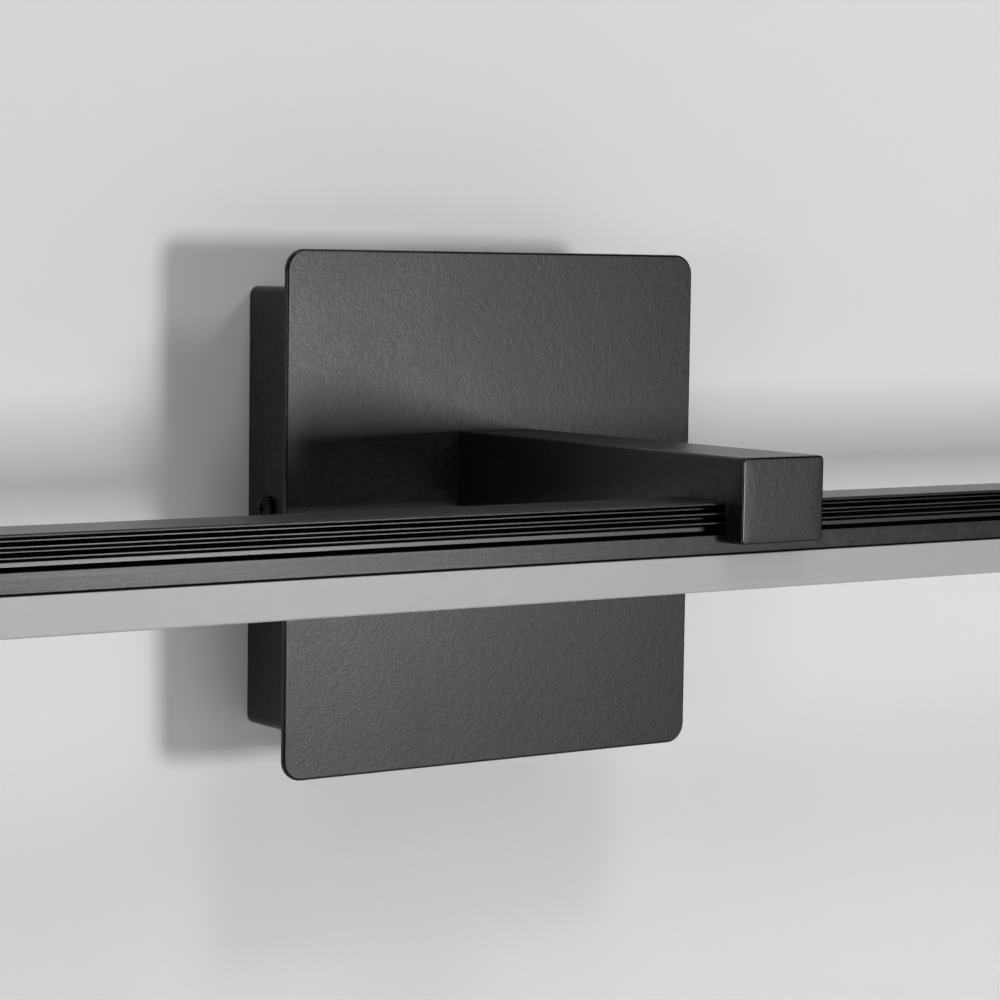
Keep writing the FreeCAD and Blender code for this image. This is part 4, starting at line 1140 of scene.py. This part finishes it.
def buildTerminal():
    low, high = cornersOf("terminal_block")
    edge = terminal["edge"]
    stations = [(edge, low[1]), (0.0, low[1] + edge)] + roundedEdge(high[1], edge, -1)
    floor = high[1] - terminal["wellDepth"]
    radius = terminal["screw"]
    top = terminal["screwHeight"]
    head = [(radius, 0.0), (radius, top - 0.4), (radius - 0.15, top - 0.1), (radius - 0.4, top)]
    reach = terminal["slotReach"]
    slot = terminal["slotHalf"]
    half = terminal["groove"] / 2
    cutters = []
    heads = []
    blades = []
    for pole in range(terminal["poles"]):
        across = low[0] + terminal["first"] + pole * terminal["pitch"]
        for row in terminal["rows"]:
            spot = (across, low[2] + row)
            cutters.append(wellCutter(spot, floor, high[1]))
            heads.append(turned(head, facingY, spot, floor, 1, steps=32))
            blade = roundedOutline((across - reach, spot[1] - slot), (across + reach, spot[1] + slot),
                                   0.05, 2)
            blades.append(extruded(blade, facingY, floor + terminal["slotFloor"], floor + 4))
        if pole < terminal["poles"] - 1:
            valley = across + terminal["pitch"] / 2
            groove = [(valley - half, low[2] - 2), (valley + half, low[2] - 2), (valley + half, high[2] + 2),
                      (valley - half, high[2] + 2)]
            cutters.append(extruded(groove, facingY, high[1] - terminal["grooveDepth"], high[1] + 2))
    makePiece("terminalBlock", caseMesh(low, high, stations, terminal["corner"]), "white_nylon",
              ["terminal_block"], cutters)
    makePiece("terminalScrews", joined(heads), "zinc_steel", ["terminal_screws"], [joined(blades)])


bush = {"bore": 3.0, "neck": 3.6, "neckEdge": 0.2, "flange": 5.6, "flangeEdge": 0.5, "height": 1.2,
        "mouth": 0.5, "mouthDepth": 0.6}


def buildArmBush():
    low, high = cornersOf("arm_bush")
    back, face = low[1], high[1]
    bore, neck, flange = bush["bore"], bush["neck"], bush["flange"]
    seat = face - bush["height"]
    edge = bush["flangeEdge"]
    mouth = bush["mouth"]
    profile = [(bore, back), (neck - bush["neckEdge"], back), (neck, back + bush["neckEdge"]), (neck, seat),
               (flange, seat), (flange, face - edge), (flange - edge * 0.3, face - edge * 0.3),
               (flange - edge, face), (bore + mouth, face), (bore + mouth * 0.24, face - 0.2),
               (bore, face - bush["mouthDepth"])]
    mesh = turned(profile, facingY, (0, armHoles["wireUp"]), 0, 1, capped=False)
    makePiece("armBush", mesh, "black_nylon", ["arm_bush"])


buildDriver()
buildTerminal()
buildArmBush()
print("driver, terminal block and bush built")


# wall, floor, light and camera

# sizes in metres; the floor is darker to the eye than to the light that it bounces
stage = {"reach": 4.0, "floorDrop": 0.9, "openingHalfWide": 0.0495, "openingHalfHigh": 0.052,
         "wallColour": 0.79, "wallRough": 0.8, "wallSpecular": 0.2, "floorColour": 0.7, "floorRough": 0.85,
         "floorSeen": 0.15, "floorGlow": 0.42}


def stagePiece(name, vertices, faces, material):
    mesh = bpy.data.meshes.new(name)
    mesh.from_pydata(vertices, [], faces)
    mesh.materials.append(material)
    piece = bpy.data.objects.new(name, mesh)
    bpy.context.scene.collection.objects.link(piece)


# the wall shows from the front only, so the back of the fixture can be seen too
def buildWallPaint():
    material, tree, shader = startMaterial("wallPaint")
    where = objectPlace(tree)
    broad = noiseNode(tree, 6.0, 3.0, where)
    tone = mixColour(tree, broad, shade(stage["wallColour"], 0.985), shade(stage["wallColour"], 1.015))
    tree.links.new(tone, shader.inputs["Base Color"])
    shader.inputs["Roughness"].default_value = stage["wallRough"]
    shader.inputs["Specular IOR Level"].default_value = stage["wallSpecular"]
    addBump(tree, shader, noiseNode(tree, 350.0, 3.0, where), 0.15, 0.1 * mm)
    seeThrough = tree.nodes.new("ShaderNodeBsdfTransparent")
    facing = tree.nodes.new("ShaderNodeNewGeometry").outputs["Backfacing"]
    either = tree.nodes.new("ShaderNodeMixShader")
    tree.links.new(facing, either.inputs[0])
    tree.links.new(shader.outputs[0], either.inputs[1])
    tree.links.new(seeThrough.outputs[0], either.inputs[2])
    tree.links.new(either.outputs[0], tree.nodes["Material Output"].inputs["Surface"])
    return material


def buildStage():
    reach = stage["reach"]
    low = -stage["floorDrop"]
    behind = 0.05 * mm
    columns = (-reach, -stage["openingHalfWide"], stage["openingHalfWide"], reach)
    rows = (low, -stage["openingHalfHigh"], stage["openingHalfHigh"], reach)
    vertices = [(x, behind, z) for z in rows for x in columns]
    faces = []
    for row in range(3):
        for column in range(3):
            if (row, column) != (1, 1):
                first = row * 4 + column
                faces.append((first, first + 1, first + 5, first + 4))
    stagePiece("wall", vertices, faces, buildWallPaint())
    floorPaint, tree, shader = startMaterial("floorPaint")
    seen = tree.nodes.new("ShaderNodeLightPath").outputs["Is Camera Ray"]
    tone = mixColour(tree, seen, shade(stage["floorColour"]), shade(stage["floorSeen"]))
    tree.links.new(tone, shader.inputs["Base Color"])
    shader.inputs["Roughness"].default_value = stage["floorRough"]
    shader.inputs["Emission Color"].default_value = shade(1.0)
    glow = rangeNode(tree, seen, 0.0, 1.0, 0.0, stage["floorGlow"])
    tree.links.new(glow, shader.inputs["Emission Strength"])
    corners = [(-reach, -reach, low), (reach, -reach, low), (reach, reach, low), (-reach, reach, low)]
    stagePiece("floor", corners, [(0, 1, 2, 3)], floorPaint)


# bearing is to the right of straight ahead of the wall, height is above level, both in degrees
lights = {
    "key": {"bearing": 25, "height": -3, "away": 3.6, "size": 0.55, "power": 54.6},
    "left": {"bearing": -60, "height": -3, "away": 3.6, "size": 0.55, "power": 12.7},
    "above": {"bearing": 0, "height": 60, "away": 3.6, "size": 0.8, "power": 24.2},
    "upperLeft": {"bearing": -45, "height": 30, "away": 3.6, "size": 0.8, "power": 7.9},
    "upperRight": {"bearing": 30, "height": 30, "away": 3.6, "size": 0.8, "power": 17.6},
    "behind": {"bearing": 205, "height": 25, "away": 1.9, "size": 1.2, "power": 45.0},
}
surround = {"strength": 0.045, "seen": 0.62}


def buildLights():
    aim = Vector((0, plateLow[1] * mm, 0))
    for name, values in lights.items():
        lamp = bpy.data.lights.new(name, "AREA")
        lamp.shape = "SQUARE"
        lamp.size = values["size"]
        lamp.energy = values["power"]
        thing = bpy.data.objects.new(name, lamp)
        bpy.context.scene.collection.objects.link(thing)
        bearing = math.radians(values["bearing"])
        height = math.radians(values["height"])
        away = Vector((math.sin(bearing) * math.cos(height), -math.cos(bearing) * math.cos(height),
                       math.sin(height))) * values["away"]
        thing.location = aim + away
        thing.rotation_euler = (-away).to_track_quat("-Z", "Y").to_euler()
    world = bpy.data.worlds.new("surround")
    bpy.context.scene.world = world
    world.use_nodes = True
    tree = world.node_tree
    back = tree.nodes["Background"]
    back.inputs["Color"].default_value = (1, 1, 1, 1)
    seen = tree.nodes.new("ShaderNodeLightPath").outputs["Is Camera Ray"]
    strength = rangeNode(tree, seen, 0.0, 1.0, surround["strength"], surround["seen"])
    tree.links.new(strength, back.inputs["Strength"])


view = {"place": (-0.41064, -0.61797, 0.05934), "right": 35.123, "down": 4.581, "roll": 0.788,
        "lens": 105.54}


def buildCamera():
    data = bpy.data.cameras.new("camera")
    data.sensor_width = 36.0
    data.lens = view["lens"]
    data.clip_start = 0.01
    thing = bpy.data.objects.new("camera", data)
    bpy.context.scene.collection.objects.link(thing)
    turn = (Matrix.Rotation(-math.radians(view["right"]), 4, "Z")
            @ Matrix.Rotation(math.radians(90 - view["down"]), 4, "X")
            @ Matrix.Rotation(math.radians(view["roll"]), 4, "Z"))
    thing.matrix_world = Matrix.Translation(view["place"]) @ turn
    bpy.context.scene.camera = thing
    bpy.context.scene.view_settings.view_transform = "Standard"


buildStage()
buildLights()
buildCamera()
print("stage, lights and camera built")
